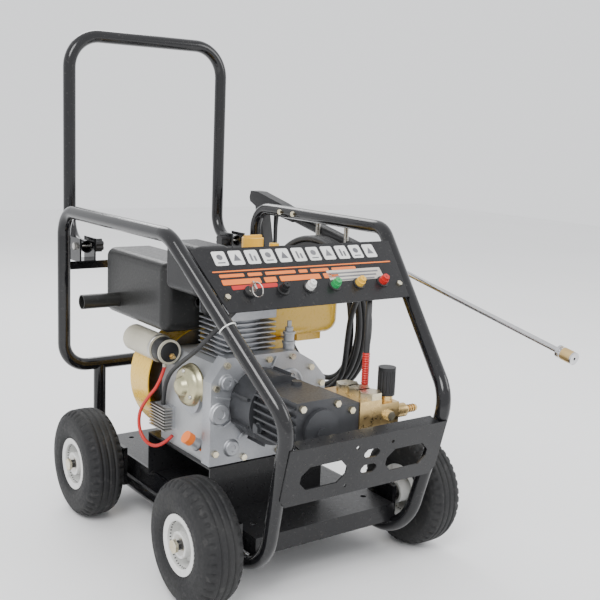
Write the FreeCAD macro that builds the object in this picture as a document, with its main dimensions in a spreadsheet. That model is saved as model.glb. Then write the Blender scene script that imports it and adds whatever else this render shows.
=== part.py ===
import FreeCAD, Part
import Sketcher
import math
import os
from FreeCAD import Placement, Rotation, Vector

# A pressure washer on a four-wheeled tube frame: air-cooled diesel engine, direct-driven
# three-plunger pump, slanted panel with five spray nozzles, hose, gun and lance.
# Millimetres.  +Z is up and -Y is the front, where the bumper plate and the panel are.
# The origin is on the floor, midway between the lance tip and the push handle.

doc = FreeCAD.newDocument("pressure_washer")
sheet = doc.addObject("Spreadsheet::Sheet", "sizes")

driving = {
    # frame tubes
    "tube_od": 32.0, "tube_wall": 2.5,
    "rail_half": 285.0, "rail_height": 729.0, "rail_rear": 486.0, "rail_front": -62.0,
    "knee_half": 204.0, "knee_y": -388.0, "knee_height": 408.0, "leg_weld_drop": 50.0,
    "base_half": 188.0, "base_height": 70.0, "base_front": -302.0,
    "crossbar_height": 330.0,
    "rail_bend": 62.0, "knee_bend": 80.0, "base_bend": 120.0, "stub_bend": 80.0,
    # bumper plate on the lower legs
    "plate_half": 203.0, "plate_top": 46.0, "plate_bottom": 174.0, "plate_sheet": 3.0,
    "plate_flange": 30.0, "window_half": 56.0, "window_x": 108.0, "window_tall": 52.0,
    # deck, side plates and engine bed
    "sheet": 3.0, "deck_front": -265.0, "deck_rear": 468.0, "deck_top": 133.0, "deck_flange": 40.0,
    "side_sheet": 5.0, "bed_top": 235.0, "bed_front": -112.0, "bed_rear": 172.0,
    "bed_left": -205.0, "bed_right": 92.0, "bed_sheet": 4.0,
    # wheels
    "tyre_od": 260.0, "tyre_width": 92.0, "rim_seat": 52.0, "rim_flange": 62.0, "rim_half": 40.0,
    "half_track": 291.0, "wheel_front": -206.0, "wheel_rear": 324.0,
    "axle_d": 20.0, "axle_end": 337.0, "hub_od": 54.0, "bearing_od": 42.0, "bearing_width": 12.0,
    "run_gap": 0.05,
    # push handle
    "handle_half": 224.0, "handle_y": 598.0, "handle_height": 1164.0, "handle_bend": 82.0,
    "foot_bend": 65.0, "pivot_y": 505.0, "pivot_height": 636.0, "pivot_d": 10.0, "foot_end": 20.0,
    "cheek": 4.0, "cheek_gap": 1.5, "strip_bottom": 577.0, "strip_tall": 20.0, "strip_sheet": 4.0,
    "knob_d": 34.0, "knob_long": 26.0,
    # control panel between the front legs
    "panel_low": 250.0, "panel_high": 408.0, "panel_sheet": 2.0, "panel_lift": 12.0,
    "panel_flange": 26.0, "nozzle_run": 295.0, "nozzle_pitch": 67.0, "nozzle_first": -87.0,
    "nozzle_hex": 16.0, "nozzle_stem": 6.0, "seat_od": 28.0, "seat_long": 18.0,
    "switch_x": -168.0, "switch_d": 26.0,
    # drive line and engine
    "crank_x": -83.0, "crank_height": 366.0, "crank_d": 35.0, "stub_d": 25.0, "throw": 30.0,
    "engine_front": -108.0,
    "cover_deep": 34.0, "case_deep": 200.0, "web_r": 46.0, "engine_left": -205.0,
    "engine_right": 95.0, "engine_foot_right": 60.0, "case_top": 448.0, "cover_top": 470.0,
    "bore_d": 86.0, "cylinder_y": -10.0, "cylinder_half": 62.0, "cylinder_tall": 92.0,
    "head_tall": 46.0, "rocker_tall": 34.0,
    "blower_r": 150.0, "shroud_r": 124.0, "blower_front": 126.0, "blower_deep": 88.0, "blower_wall": 3.0,
    "flywheel_r": 116.0, "flywheel_deep": 46.0,
    # muffler
    "muffler_left": -230.0, "muffler_wide": 128.0, "muffler_front": 59.0, "muffler_long": 308.0,
    "muffler_low": 494.0, "muffler_tall": 158.0, "muffler_round": 22.0, "muffler_wall": 2.0,
    "tailpipe_d": 34.0, "tailpipe_long": 92.0, "tailpipe_y": 290.0, "tailpipe_height": 534.0,
    # fuel tank
    "tank_left": -12.0, "tank_wide": 230.0, "tank_front": -6.0, "tank_long": 208.0,
    "tank_low": 470.0, "tank_tall": 185.0, "tank_round": 34.0, "tank_wall": 3.0,
    "cap_x": 46.0, "cap_y": 135.0, "cap_d": 52.0, "cap_tall": 22.0, "neck_d": 40.0, "neck_tall": 14.0,
    # pump
    "pump_front": -325.0, "pump_long": 140.0, "pump_left": -140.0, "pump_mid": -30.0,
    "pump_right": 18.0, "pump_low": 322.0, "pump_top": 425.0, "block_top": 406.0,
    "adapter_r": 76.0, "flange_deep": 10.0,
    "manifold_wide": 58.0, "manifold_long": 124.0, "manifold_low": 336.0, "manifold_top": 406.0,
    "valve_pitch": 37.5, "valve_x": 60.0, "valve_hex": 24.0, "plunger_d": 18.0,
    "unloader_x": 110.0, "unloader_y": -300.0, "unloader_knob_d": 38.0, "unloader_knob_tall": 60.0,
    "inlet_d": 30.0,
    "outlet_x": 105.0, "outlet_y": -236.0, "restrictor_d": 17.0, "restrictor_low": 402.0,
    "restrictor_tall": 80.0,
    # hose, gun and lance
    "hose_d": 14.0, "coil_r": 204.0, "coil_y": 157.0, "coil_height": 482.0, "coil_left": 226.0,
    "coil_wide": 62.0, "coil_deep": 30.0,
    "gun_x": 321.0, "lance_d": 12.0, "lance_tip_y": -611.5, "lance_slope": 0.197,
    "gun_rear_y": 552.0, "gun_rear_height": 757.0, "grip_front": 491.0, "grip_rear": 221.0,
    "grip_d": 32.0, "coupler_d": 26.0, "coupler_long": 40.0, "hook_d": 6.0,
}

for row, (alias, value) in enumerate(driving.items(), start=1):
    cell = "A%d" % row
    sheet.set(cell, str(value))
    sheet.setAlias(cell, alias)
doc.recompute()


class Sizes:
    """Reads a driving dimension from the sheet by its name."""

    def __getattr__(self, alias):
        return float(sheet.get(alias))


S = Sizes()
nodes = {}


def bound(text):
    """Turns $name into the sheet's own cell name."""
    return text.replace("$", "sizes.")


def keep(label, item):
    item.Label = label
    nodes[label] = item
    return item


def box(name, size, at, turn=None):
    """A block whose three sizes are sheet expressions, with its low corner at a point."""
    item = doc.addObject("Part::Box", name)
    for prop, text in zip(("Length", "Width", "Height"), size):
        item.setExpression(prop, bound(text))
    item.Placement = Placement(Vector(*at), turn or Rotation())
    return item


def facing(axis):
    return Rotation(Vector(0, 0, 1), Vector(*axis))


def rod(name, radius, length, at, axis=(0, 0, 1)):
    """A round bar from a point along an axis, its sizes sheet expressions."""
    item = doc.addObject("Part::Cylinder", name)
    item.setExpression("Radius", bound(radius))
    item.setExpression("Height", bound(length))
    item.Placement = Placement(Vector(*at), facing(axis))
    return item


def cone(name, low, high, length, at, axis=(0, 0, 1)):
    item = doc.addObject("Part::Cone", name)
    item.setExpression("Radius1", bound(low))
    item.setExpression("Radius2", bound(high))
    item.setExpression("Height", bound(length))
    item.Placement = Placement(Vector(*at), facing(axis))
    return item


def hexagon(name, across, length, at, axis=(0, 0, 1)):
    """A hexagonal bar of a given width across its corners."""
    item = doc.addObject("Part::Prism", name)
    item.Polygon = 6
    item.setExpression("Circumradius", bound(across) + " / 2")
    item.setExpression("Height", bound(length))
    item.Placement = Placement(Vector(*at), facing(axis))
    return item


def fuse(name, pieces):
    item = doc.addObject("Part::MultiFuse", name)
    item.Shapes = pieces
    return item


def cut(name, base, tool):
    item = doc.addObject("Part::Cut", name)
    item.Base = base
    item.Tool = tool
    return item


def group(name, pieces):
    """Several separate solids that share one node."""
    item = doc.addObject("Part::Compound", name)
    item.Links = pieces
    return item


def solid(name, shape):
    item = doc.addObject("Part::Feature", name)
    item.Shape = shape
    return item


def plane_of(body, role):
    for feature in body.Origin.OriginFeatures:
        if feature.Role == role:
            return feature
    raise ValueError(role)


def sketch_on(body, name, role):
    item = body.newObject("Sketcher::SketchObject", name)
    item.AttachmentSupport = [(plane_of(body, role), "")]
    item.MapMode = "FlatFace"
    return item


def place_point(item, edge, end, axis, text):
    """Holds one end of an edge at a sheet expression from the sketch's origin."""
    value = float(item.evalExpression(bound(text)))
    index = item.addConstraint(Sketcher.Constraint("Distance" + axis, -1, 1, edge, end, value))
    item.setExpression("Constraints[%d]" % index, bound(text))


def polygon(item, points):
    """Closed outline through points whose two coordinates are sheet expressions."""
    spots = [Vector(float(item.evalExpression(bound(u))), float(item.evalExpression(bound(v))), 0)
             for u, v in points]
    count = len(spots)
    first = item.GeometryCount
    for index in range(count):
        item.addGeometry(Part.LineSegment(spots[index], spots[(index + 1) % count]), False)
    for index in range(count):
        after = first + (index + 1) % count
        item.addConstraint(Sketcher.Constraint("Coincident", first + index, 2, after, 1))
    for index, (u, v) in enumerate(points):
        place_point(item, first + index, 1, "X", u)
        place_point(item, first + index, 1, "Y", v)


def circle(item, u, v, radius):
    spot = Vector(float(item.evalExpression(bound(u))), float(item.evalExpression(bound(v))), 0)
    size = float(item.evalExpression(bound(radius)))
    index = item.addGeometry(Part.Circle(spot, Vector(0, 0, 1), size), False)
    place_point(item, index, 3, "X", u)
    place_point(item, index, 3, "Y", v)
    held = item.addConstraint(Sketcher.Constraint("Radius", index, size))
    item.setExpression("Constraints[%d]" % held, bound(radius))


def padded(name, role, length, draw, midplane=False, back=False):
    """A body made by padding one sketch."""
    body = doc.addObject("PartDesign::Body", name)
    item = sketch_on(body, name + "_outline", role)
    draw(item)
    pad = body.newObject("PartDesign::Pad", name + "_pad")
    pad.Profile = item
    pad.setExpression("Length", bound(length))
    pad.Midplane = midplane
    pad.Reversed = back
    body.Tip = pad
    return body


def turned(name, points):
    """A body turned about its own X axis from a profile of (x, radius) expressions."""
    body = doc.addObject("PartDesign::Body", name)
    item = sketch_on(body, name + "_profile", "XY_Plane")
    polygon(item, points)
    turn = body.newObject("PartDesign::Revolution", name + "_turn")
    turn.Profile = item
    turn.ReferenceAxis = (item, ["H_Axis"])
    turn.Angle = 360
    body.Tip = turn
    return body


def route(points, radii):
    """Straight runs joined by tangent arcs, one radius for each inner point."""
    spots = [Vector(*point) for point in points]
    edges = []
    start = spots[0]
    for index in range(1, len(spots) - 1):
        corner = spots[index]
        back = (spots[index - 1] - corner).normalize()
        ahead = (spots[index + 1] - corner).normalize()
        half = back.getAngle(ahead) / 2
        reach = radii[index - 1] / math.tan(half)
        enter = corner + back * reach
        leave = corner + ahead * reach
        middle = (back + ahead).normalize()
        crown = corner + middle * (radii[index - 1] / math.sin(half) - radii[index - 1])
        if (enter - start).Length > 1e-6:
            edges.append(Part.LineSegment(start, enter).toShape())
        edges.append(Part.Arc(enter, crown, leave).toShape())
        start = leave
    edges.append(Part.LineSegment(start, spots[-1]).toShape())
    return Part.Wire(edges)


def swept(points, radii, diameter):
    path = route(points, radii)
    ahead = Vector(*points[1]) - Vector(*points[0])
    ring = Part.Wire(Part.Circle(Vector(*points[0]), ahead, diameter / 2).toShape())
    return path.makePipeShell([ring], True, False)


def bent_tube(points, radii):
    """The frame's tube along a route, open at both ends."""
    outer = swept(points, radii, S.tube_od)
    inner = swept(points, radii, S.tube_od - 2 * S.tube_wall)
    return outer.cut(inner)


def arc_radii(points):
    """The largest arcs that a free cord's runs allow."""
    spots = [Vector(*point) for point in points]
    found = []
    for index in range(1, len(spots) - 1):
        before = spots[index] - spots[index - 1]
        after = spots[index + 1] - spots[index]
        shorter = min(before.Length, after.Length)
        found.append(0.45 * shorter / math.tan(before.getAngle(after) / 2))
    return found


# ---- frame ---------------------------------------------------------------

half_od = S.tube_od / 2
lean = math.atan2(S.base_front - S.knee_y, S.knee_height - S.base_height)
weld = Vector(0, S.knee_y + S.leg_weld_drop * math.sin(lean),
              S.knee_height - S.leg_weld_drop * math.cos(lean))
leg_long = math.hypot(S.base_front - S.knee_y, S.knee_height - S.base_height)
weld_half = S.knee_half + (S.base_half - S.knee_half) * S.leg_weld_drop / leg_long


def upper_points():
    left = [(-weld_half, weld.y, weld.z), (-S.knee_half, S.knee_y, S.knee_height),
            (-S.rail_half, S.rail_front, S.rail_height), (-S.rail_half, S.rail_rear, S.rail_height),
            (-S.rail_half, S.rail_rear, S.crossbar_height)]
    right = [(-x, y, z) for x, y, z in reversed(left)]
    return left + right


def base_points(side):
    return [(side * weld_half, weld.y, weld.z),
            (side * S.base_half, S.base_front, S.base_height),
            (side * S.base_half, S.rail_rear, S.base_height),
            (side * S.base_half, S.rail_rear, S.crossbar_height)]


# The front legs' own frame: Y runs up the legs, Z leaves the panel's face.
leg_turn = Rotation(Vector(1, 0, 0), math.degrees(math.atan2(S.rail_height - S.knee_height,
                                                             S.rail_front - S.knee_y)))
on_legs = Placement(Vector(0, S.knee_y, S.knee_height), leg_turn)
leg_length = math.hypot(S.rail_height - S.knee_height, S.rail_front - S.knee_y)
bolt_up = 286
bolt_x = 225
upper_bends = [S.knee_bend] + 6 * [S.rail_bend] + [S.knee_bend]
upper_tube = bent_tube(upper_points(), upper_bends)
for side in (-1, 1):
    tab = Part.makeBox(30, 20, 4, Vector(side * 229 - 15, bolt_up - 10, 8))
    tab = tab.cut(Part.makeCylinder(3, 8, Vector(side * bolt_x, bolt_up, 6)))
    tab.Placement = on_legs
    leg_at = Vector(side * S.knee_half, S.knee_y, S.knee_height)
    leg_top = Vector(side * S.rail_half, S.rail_front, S.rail_height)
    core = Part.makeCylinder(half_od - 1, (leg_top - leg_at).Length, leg_at, leg_top - leg_at)
    upper_tube = upper_tube.fuse(tab.cut(core))
for y in (283, 343):
    upper_tube = upper_tube.cut(Part.makeCylinder(4, 50, Vector(S.rail_half - 25, y, S.rail_height),
                                                  Vector(1, 0, 0)))
keep("upper_frame", solid("upper_frame", upper_tube))

axle_height = S.tyre_od / 2
crossbar_core = Part.makeCylinder(half_od, 2 * S.rail_half,
                                  Vector(-S.rail_half, S.rail_rear, S.crossbar_height), Vector(1, 0, 0))
for hand, side in (("left", -1), ("right", 1)):
    tube = solid(hand + "_base_tube", bent_tube(base_points(side),
                                                [S.base_bend, S.stub_bend]).cut(crossbar_core))
    pieces = [tube]
    start = side * S.base_half - S.side_sheet / 2
    pieces.append(box(hand + "_side_bar", ("$side_sheet", "$deck_rear - $deck_front - 90",
                                           "$deck_top - $base_height - $tube_od / 2 + 1"),
                      (start, S.deck_front + 60, S.base_height + half_od - 1)))
    for end_name, wheel_y in (("front", S.wheel_front), ("rear", S.wheel_rear)):
        tag = "%s_%s" % (hand, end_name)
        face_x = side * (S.base_half + half_od)
        low_x = face_x - 2 if side > 0 else face_x - 8
        pieces.append(box("bracket_" + tag, ("10", "70", "96"), (low_x, wheel_y - 35, axle_height - 66)))
        pieces.append(rod("axle_bar_" + tag, "$axle_d / 2", "$axle_end - $base_half - $tube_od / 2",
                          (face_x, wheel_y, axle_height), (side, 0, 0)))
        pieces.append(rod("axle_collar_" + tag, "$axle_d / 2 + 5",
                          "$half_track - 55 - $base_half - $tube_od / 2 - 0.5",
                          (face_x, wheel_y, axle_height), (side, 0, 0)))
    keep(hand + "_base_rail", fuse(hand + "_base_rail", pieces))


# ---- bumper plate --------------------------------------------------------

def clipped(item, x, low, wide, tall, clip):
    """An opening with clipped corners, centred at x."""
    polygon(item, [("%s - %s" % (x, wide), "%s + %s" % (low, clip)),
                   ("%s - %s + %s" % (x, wide, clip), low),
                   ("%s + %s - %s" % (x, wide, clip), low),
                   ("%s + %s" % (x, wide), "%s + %s" % (low, clip)),
                   ("%s + %s" % (x, wide), "%s + %s - %s" % (low, tall, clip)),
                   ("%s + %s - %s" % (x, wide, clip), "%s + %s" % (low, tall)),
                   ("%s - %s + %s" % (x, wide, clip), "%s + %s" % (low, tall)),
                   ("%s - %s" % (x, wide), "%s + %s - %s" % (low, tall, clip))])


def draw_plate(item):
    polygon(item, [("-$plate_half", "-$plate_bottom + 18"), ("-$plate_half + 14", "-$plate_bottom"),
                   ("$plate_half - 14", "-$plate_bottom"), ("$plate_half", "-$plate_bottom + 18"),
                   ("$plate_half", "-$plate_top"), ("-$plate_half", "-$plate_top")])
    for x in ("-$window_x", "$window_x"):
        clipped(item, x, "-$plate_bottom + 32", "$window_half", "$window_tall", "18")
    for low in ("-$plate_bottom + 40", "-$plate_bottom + 76"):
        clipped(item, "8", low, "20", "20", "7")
    for u, v in (("-34", "-$plate_top - 22"), ("58", "-$plate_top - 24"), ("-46", "-$plate_bottom + 20")):
        circle(item, u, v, "4")


plate_lean = Rotation(Vector(1, 0, 0), math.degrees(lean))
plate_out = half_od + S.plate_sheet
plate_spot = Vector(0, S.knee_y - plate_out * math.cos(lean), S.knee_height - plate_out * math.sin(lean))
plate_face = padded("plate_face", "XZ_Plane", "$plate_sheet", draw_plate, back=True)
flange = box("plate_fold", ("2 * $plate_half - 46", "$plate_flange", "$plate_sheet"),
             (-S.plate_half + 23, 0, -S.plate_top - S.plate_sheet))
bumper = fuse("front_plate", [plate_face, flange])
bumper.Placement = Placement(plate_spot, plate_lean)
keep("front_plate", bumper)

# ---- deck, side plates, engine bed --------------------------------------

deck_half = S.base_half - S.side_sheet / 2
deck_outer = box("deck_outer", ("2 * $base_half - $side_sheet", "$deck_rear - $deck_front", "$deck_flange"),
                 (-deck_half, S.deck_front, S.deck_top - S.deck_flange))
deck_hollow = box("deck_hollow", ("2 * $base_half - $side_sheet - 2 * $sheet",
                                  "$deck_rear - $deck_front - 2 * $sheet", "$deck_flange - $sheet"),
                  (-deck_half + S.sheet, S.deck_front + S.sheet, S.deck_top - S.deck_flange))
deck_shell = cut("deck_shell", deck_outer, deck_hollow)
deck_holes = []
for index, (x, y) in enumerate(((-124, 427), (124, 427), (-150, 220), (150, 220), (-150, -200), (150, -200))):
    deck_holes.append(rod("deck_hole_%d" % index, "7", "$sheet + 2", (x, y, S.deck_top - S.sheet - 1)))
deck_cutter = fuse("deck_cutter", deck_holes)
deck_plate = cut("deck_plate", deck_shell, deck_cutter)

bed_outer = box("bed_outer", ("$bed_right - $bed_left", "$bed_rear - $bed_front", "$bed_top - $deck_top"),
                (S.bed_left, S.bed_front, S.deck_top))
bed_hollow = box("bed_hollow", ("$bed_right - $bed_left + 2", "$bed_rear - $bed_front - 2 * $bed_sheet",
                                "$bed_top - $deck_top - $bed_sheet"),
                 (S.bed_left - 1, S.bed_front + S.bed_sheet, S.deck_top))
rail_ways = []
for hand, side in (("left", -1), ("right", 1)):
    rail_ways.append(solid("rail_way_" + hand, swept(base_points(side), [S.base_bend, S.stub_bend],
                                                     S.tube_od)))
keep("deck_tray", cut("deck_tray", fuse("deck_blank", [deck_plate, cut("engine_bed", bed_outer, bed_hollow)]),
                      fuse("rail_ways", rail_ways)))

# ---- axles and wheels ----------------------------------------------------

rim_profile = [("-55", "$bearing_od / 2 + $run_gap"), ("$rim_half - 2", "$bearing_od / 2 + $run_gap"),
               ("$rim_half - 2", "$hub_od / 2"), ("14", "$hub_od / 2"), ("9", "$rim_seat - 4"),
               ("$rim_half - 2", "$rim_seat - 4"), ("$rim_half", "$rim_seat"), ("$rim_half", "$rim_flange"),
               ("$rim_half - 4", "$rim_flange"), ("$rim_half - 4", "$rim_seat"),
               ("4 - $rim_half", "$rim_seat"), ("4 - $rim_half", "$rim_flange"),
               ("-$rim_half", "$rim_flange"),
               ("-$rim_half", "$rim_seat - 4"), ("5", "$rim_seat - 4"), ("10", "$hub_od / 2"),
               ("-55", "$hub_od / 2")]
tyre_profile = [("4 - $rim_half", "$rim_seat"), ("$rim_half - 4", "$rim_seat"),
                ("$rim_half - 4", "$rim_flange + 0.5"), ("$tyre_width / 2 - 2", "$rim_flange + 10"),
                ("$tyre_width / 2", "$rim_flange + 30"), ("$tyre_width / 2 - 4", "$tyre_od / 2 - 18"),
                ("$tyre_width / 2 - 12", "$tyre_od / 2 - 5"), ("$tyre_width / 2 - 28", "$tyre_od / 2"),
                ("28 - $tyre_width / 2", "$tyre_od / 2"), ("12 - $tyre_width / 2", "$tyre_od / 2 - 5"),
                ("4 - $tyre_width / 2", "$tyre_od / 2 - 18"), ("-$tyre_width / 2", "$rim_flange + 30"),
                ("2 - $tyre_width / 2", "$rim_flange + 10"), ("4 - $rim_half", "$rim_flange + 0.5")]
races = []
for end_name, wheel_y in (("front", S.wheel_front), ("rear", S.wheel_rear)):
    for hand, side in (("left", -1), ("right", 1)):
        tag = "%s_%s" % (end_name, hand)
        outward = Rotation(Vector(0, 0, 1), 0 if side > 0 else 180)
        spot = Vector(side * S.half_track, wheel_y, axle_height)
        for kind, profile in (("rim", rim_profile), ("tyre", tyre_profile)):
            piece = turned("%s_%s" % (kind, tag), profile)
            piece.Placement = Placement(spot, outward)
            keep("%s_%s" % (kind, tag), piece)
        for place, shift in (("inner", -55), ("outer", S.rim_half - 2 - S.bearing_width)):
            low = side * (S.half_track + side * shift) if side > 0 else -S.half_track - shift
            race = rod("race_%s_%s" % (place, tag), "$bearing_od / 2", "$bearing_width",
                       (low, wheel_y, axle_height), (side, 0, 0))
            bore = rod("race_bore_%s_%s" % (place, tag), "$axle_d / 2", "$bearing_width",
                       (low, wheel_y, axle_height), (side, 0, 0))
            races.append(cut("bearing_%s_%s" % (place, tag), race, bore))
keep("wheel_bearings", group("wheel_bearings", races))

# ---- push handle and its brackets ---------------------------------------

cheek_out = half_od + S.cheek_gap + S.cheek
strip_top = S.strip_bottom + S.strip_tall
bracket_parts = [box("strip", ("2 * $rail_half", "$strip_sheet", "$strip_tall"),
                     (-S.rail_half, S.rail_rear + half_od, S.strip_bottom))]
bracket_holes = []
bolt_items = []
for hand, side in (("left", -1), ("right", 1)):
    middle = side * S.handle_half
    bracket_parts.append(box(hand + "_shelf", ("2 * ($tube_od / 2 + $cheek_gap + $cheek)", "65", "$cheek"),
                             (middle - cheek_out, 480, strip_top)))
    for place, start in (("a", middle - cheek_out), ("b", middle + cheek_out - S.cheek)):
        bracket_parts.append(box("%s_cheek_%s" % (hand, place), ("$cheek", "65", "60"),
                                 (start, 480, strip_top)))
    bracket_holes.append(rod(hand + "_cheek_hole", "$pivot_d / 2", "60",
                             (middle - 30, S.pivot_y, S.pivot_height), (1, 0, 0)))
    inner_x = side * (S.handle_half - cheek_out)
    shank = rod(hand + "_pivot_shank", "$pivot_d / 2", "2 * ($tube_od / 2 + $cheek_gap + $cheek) + 18",
                (inner_x - side * 18, S.pivot_y, S.pivot_height), (side, 0, 0))
    head = hexagon(hand + "_pivot_head", "18", "7",
                   (side * (S.handle_half + cheek_out), S.pivot_y, S.pivot_height), (side, 0, 0))
    bolt_items.append(fuse(hand + "_pivot_bolt", [shank, head]))
    barrel = rod(hand + "_knob_barrel", "$knob_d / 2", "$knob_long", (inner_x, S.pivot_y, S.pivot_height),
                 (-side, 0, 0))
    cuts = [rod(hand + "_knob_bore", "$pivot_d / 2 + $run_gap", "20",
                (inner_x, S.pivot_y, S.pivot_height), (-side, 0, 0))]
    for step in range(6):
        angle = math.radians(60 * step)
        spot = (inner_x - side * 6, S.pivot_y + 21 * math.cos(angle), S.pivot_height + 21 * math.sin(angle))
        cuts.append(rod("%s_lobe_%d" % (hand, step), "7", "$knob_long", spot, (-side, 0, 0)))
    keep("lock_knob_" + hand, cut("lock_knob_" + hand, barrel, fuse(hand + "_knob_cuts", cuts)))
keep("handle_brackets", cut("handle_brackets", fuse("brackets_blank", bracket_parts),
                            fuse("brackets_holes", bracket_holes)))
keep("pivot_bolts", group("pivot_bolts", bolt_items))

handle_left = [(-S.handle_half, S.pivot_y - S.foot_end, S.pivot_height),
               (-S.handle_half, S.handle_y, S.pivot_height), (-S.handle_half, S.handle_y, S.handle_height)]
handle_points = handle_left + [(-x, y, z) for x, y, z in reversed(handle_left)]
handle_tube = bent_tube(handle_points, [S.foot_bend, S.handle_bend, S.handle_bend, S.foot_bend])
pivot_bore = Part.makeCylinder(S.pivot_d / 2 + S.run_gap, 2 * S.rail_half,
                               Vector(-S.rail_half, S.pivot_y, S.pivot_height), Vector(1, 0, 0))
keep("push_handle", solid("push_handle", handle_tube.cut(pivot_bore)))

# ---- control panel, nozzles, switch -------------------------------------

panel_face_z = S.panel_lift + S.panel_sheet
leg_grow = "($rail_half - $knee_half) / hypot($rail_height - $knee_height; $rail_front - $knee_y)"
nozzle_x = [S.nozzle_first + index * S.nozzle_pitch for index in range(5)]


def panel_edge(up):
    return "($knee_half + %s * %s - 13)" % (leg_grow, up)


def draw_panel(item):
    polygon(item, [("-" + panel_edge("$panel_low"), "$panel_low"), (panel_edge("$panel_low"), "$panel_low"),
                   (panel_edge("$panel_high"), "$panel_high"),
                   ("-" + panel_edge("$panel_high"), "$panel_high")])
    for index in range(5):
        circle(item, "$nozzle_first + %d * $nozzle_pitch" % index, "$nozzle_run", "$seat_od / 2 - 4")
    circle(item, "$switch_x", "$nozzle_run", "$switch_d / 2 - 2")
    circle(item, "-%d" % bolt_x, "%d" % bolt_up, "3")
    circle(item, "%d" % bolt_x, "%d" % bolt_up, "3")


panel_plate = padded("panel_plate", "XY_Plane", "$panel_sheet", draw_panel)
panel_plate.Placement = Placement(Vector(0, 0, S.panel_lift), Rotation())
panel_fold = box("panel_fold", ("2 * ($rail_half - 50)", "$panel_sheet", "$panel_flange"),
                 (50 - S.rail_half, S.panel_high - S.panel_sheet, panel_face_z - S.panel_flange))
panel = fuse("control_panel", [panel_plate, panel_fold])
panel.Placement = on_legs
keep("control_panel", panel)

seats = []
for index, x in enumerate(nozzle_x):
    barrel = rod("seat_barrel_%d" % index, "$seat_od / 2 - 4", "$panel_lift - 2", (x, S.nozzle_run, 2))
    neck = rod("seat_neck_%d" % index, "$seat_od / 2 - 4", "$panel_sheet", (x, S.nozzle_run, S.panel_lift))
    lip = rod("seat_lip_%d" % index, "$seat_od / 2", "2.5", (x, S.nozzle_run, panel_face_z))
    bore = rod("seat_bore_%d" % index, "$nozzle_stem + $run_gap", "$seat_long", (x, S.nozzle_run, 0))
    seats.append(cut("seat_%d" % index, fuse("seat_body_%d" % index, [barrel, neck, lip]), bore))
seat_group = group("nozzle_seats", seats)
seat_group.Placement = on_legs
keep("nozzle_seats", seat_group)

for index, colour in enumerate(("black", "white", "green", "yellow", "red")):
    x = nozzle_x[index]
    lip_top = panel_face_z + 2.5
    stem = rod("stem_" + colour, "$nozzle_stem", "$seat_long - 5", (x, S.nozzle_run, lip_top - 13))
    guard = rod("guard_" + colour, "$nozzle_hex / 2 + 2", "10", (x, S.nozzle_run, lip_top))
    tip = hexagon("tip_" + colour, "$nozzle_hex", "8", (x, S.nozzle_run, lip_top + 10))
    orifice = rod("orifice_" + colour, "1.5", "40", (x, S.nozzle_run, lip_top - 20))
    nozzle = cut("nozzle_" + colour, fuse("nozzle_body_" + colour, [stem, guard, tip]), orifice)
    nozzle.Placement = on_legs
    keep("nozzle_" + colour, nozzle)

switch_barrel = rod("switch_barrel", "$switch_d / 2 - 2", "$panel_lift + $panel_sheet + 18",
                    (S.switch_x, S.nozzle_run, -18))
switch_bezel = rod("switch_bezel", "$switch_d / 2", "5", (S.switch_x, S.nozzle_run, panel_face_z))
key_bore = rod("key_bore", "3 + $run_gap", "24", (S.switch_x, S.nozzle_run, 0))
switch = cut("ignition_switch", fuse("switch_body", [switch_barrel, switch_bezel]), key_bore)
switch.Placement = on_legs
keep("ignition_switch", switch)
key_stem = rod("key_stem", "3", "17", (S.switch_x, S.nozzle_run, panel_face_z - 12))
key_bow = box("key_bow", ("4", "20", "20"), (S.switch_x - 2, S.nozzle_run - 10, panel_face_z + 5))
key = fuse("ignition_key", [key_stem, key_bow])
key.Placement = on_legs
keep("ignition_key", key)

# ---- engine --------------------------------------------------------------

block_front = S.engine_front + S.cover_deep
block_rear = block_front + S.case_deep
crank_axis = (0, 1, 0)


def crank_rod(name, radius, start, end, x=0, z=0):
    """A round bar along the crankshaft's axis between two depths."""
    return rod(name, radius, "%s - (%s)" % (end, start), (S.crank_x + x, start, S.crank_height + z),
               crank_axis)


def draw_block(item):
    polygon(item, [("$engine_left + 9", "$bed_top"), ("$engine_foot_right", "$bed_top"),
                   ("$engine_right", "$crank_height - 66"), ("$engine_right", "$crank_height + 34"),
                   ("$engine_foot_right", "$case_top - 8"), ("-20", "$case_top - 8"), ("-20", "$case_top"),
                   ("$engine_left + 35", "$case_top"), ("$engine_left + 9", "$case_top - 28")])


block = padded("block_blank", "XZ_Plane", "$case_deep", draw_block, back=True)
block.Placement = Placement(Vector(0, block_front, 0), Rotation())
starter_x = -212
starter_height = 452
block_cuts = [crank_rod("crank_room", "$web_r + 10", block_front + 10, block_rear - 10),
              rod("bore_room", "$bore_d / 2", "$case_top - $crank_height",
                  (S.crank_x, S.cylinder_y, S.crank_height)),
              crank_rod("front_journal", "$crank_d / 2 + $run_gap", block_front, block_front + 10),
              crank_rod("rear_journal", "$crank_d / 2 + $run_gap", block_rear - 10, block_rear),
              rod("starter_pocket", "33", "80", (starter_x, 50, starter_height), crank_axis)]
keep("engine_block", cut("engine_block", block, fuse("block_cuts", block_cuts)))


def draw_cover(item):
    polygon(item, [("$engine_left", "$bed_top + 2"), ("$engine_foot_right", "$bed_top + 2"),
                   ("$engine_right", "$crank_height - 66"), ("$engine_right", "$crank_height + 34"),
                   ("$engine_foot_right", "$cover_top - 30"), ("8", "$cover_top"),
                   ("$engine_left + 35", "$cover_top"), ("$engine_left", "$cover_top - 50")])


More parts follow.
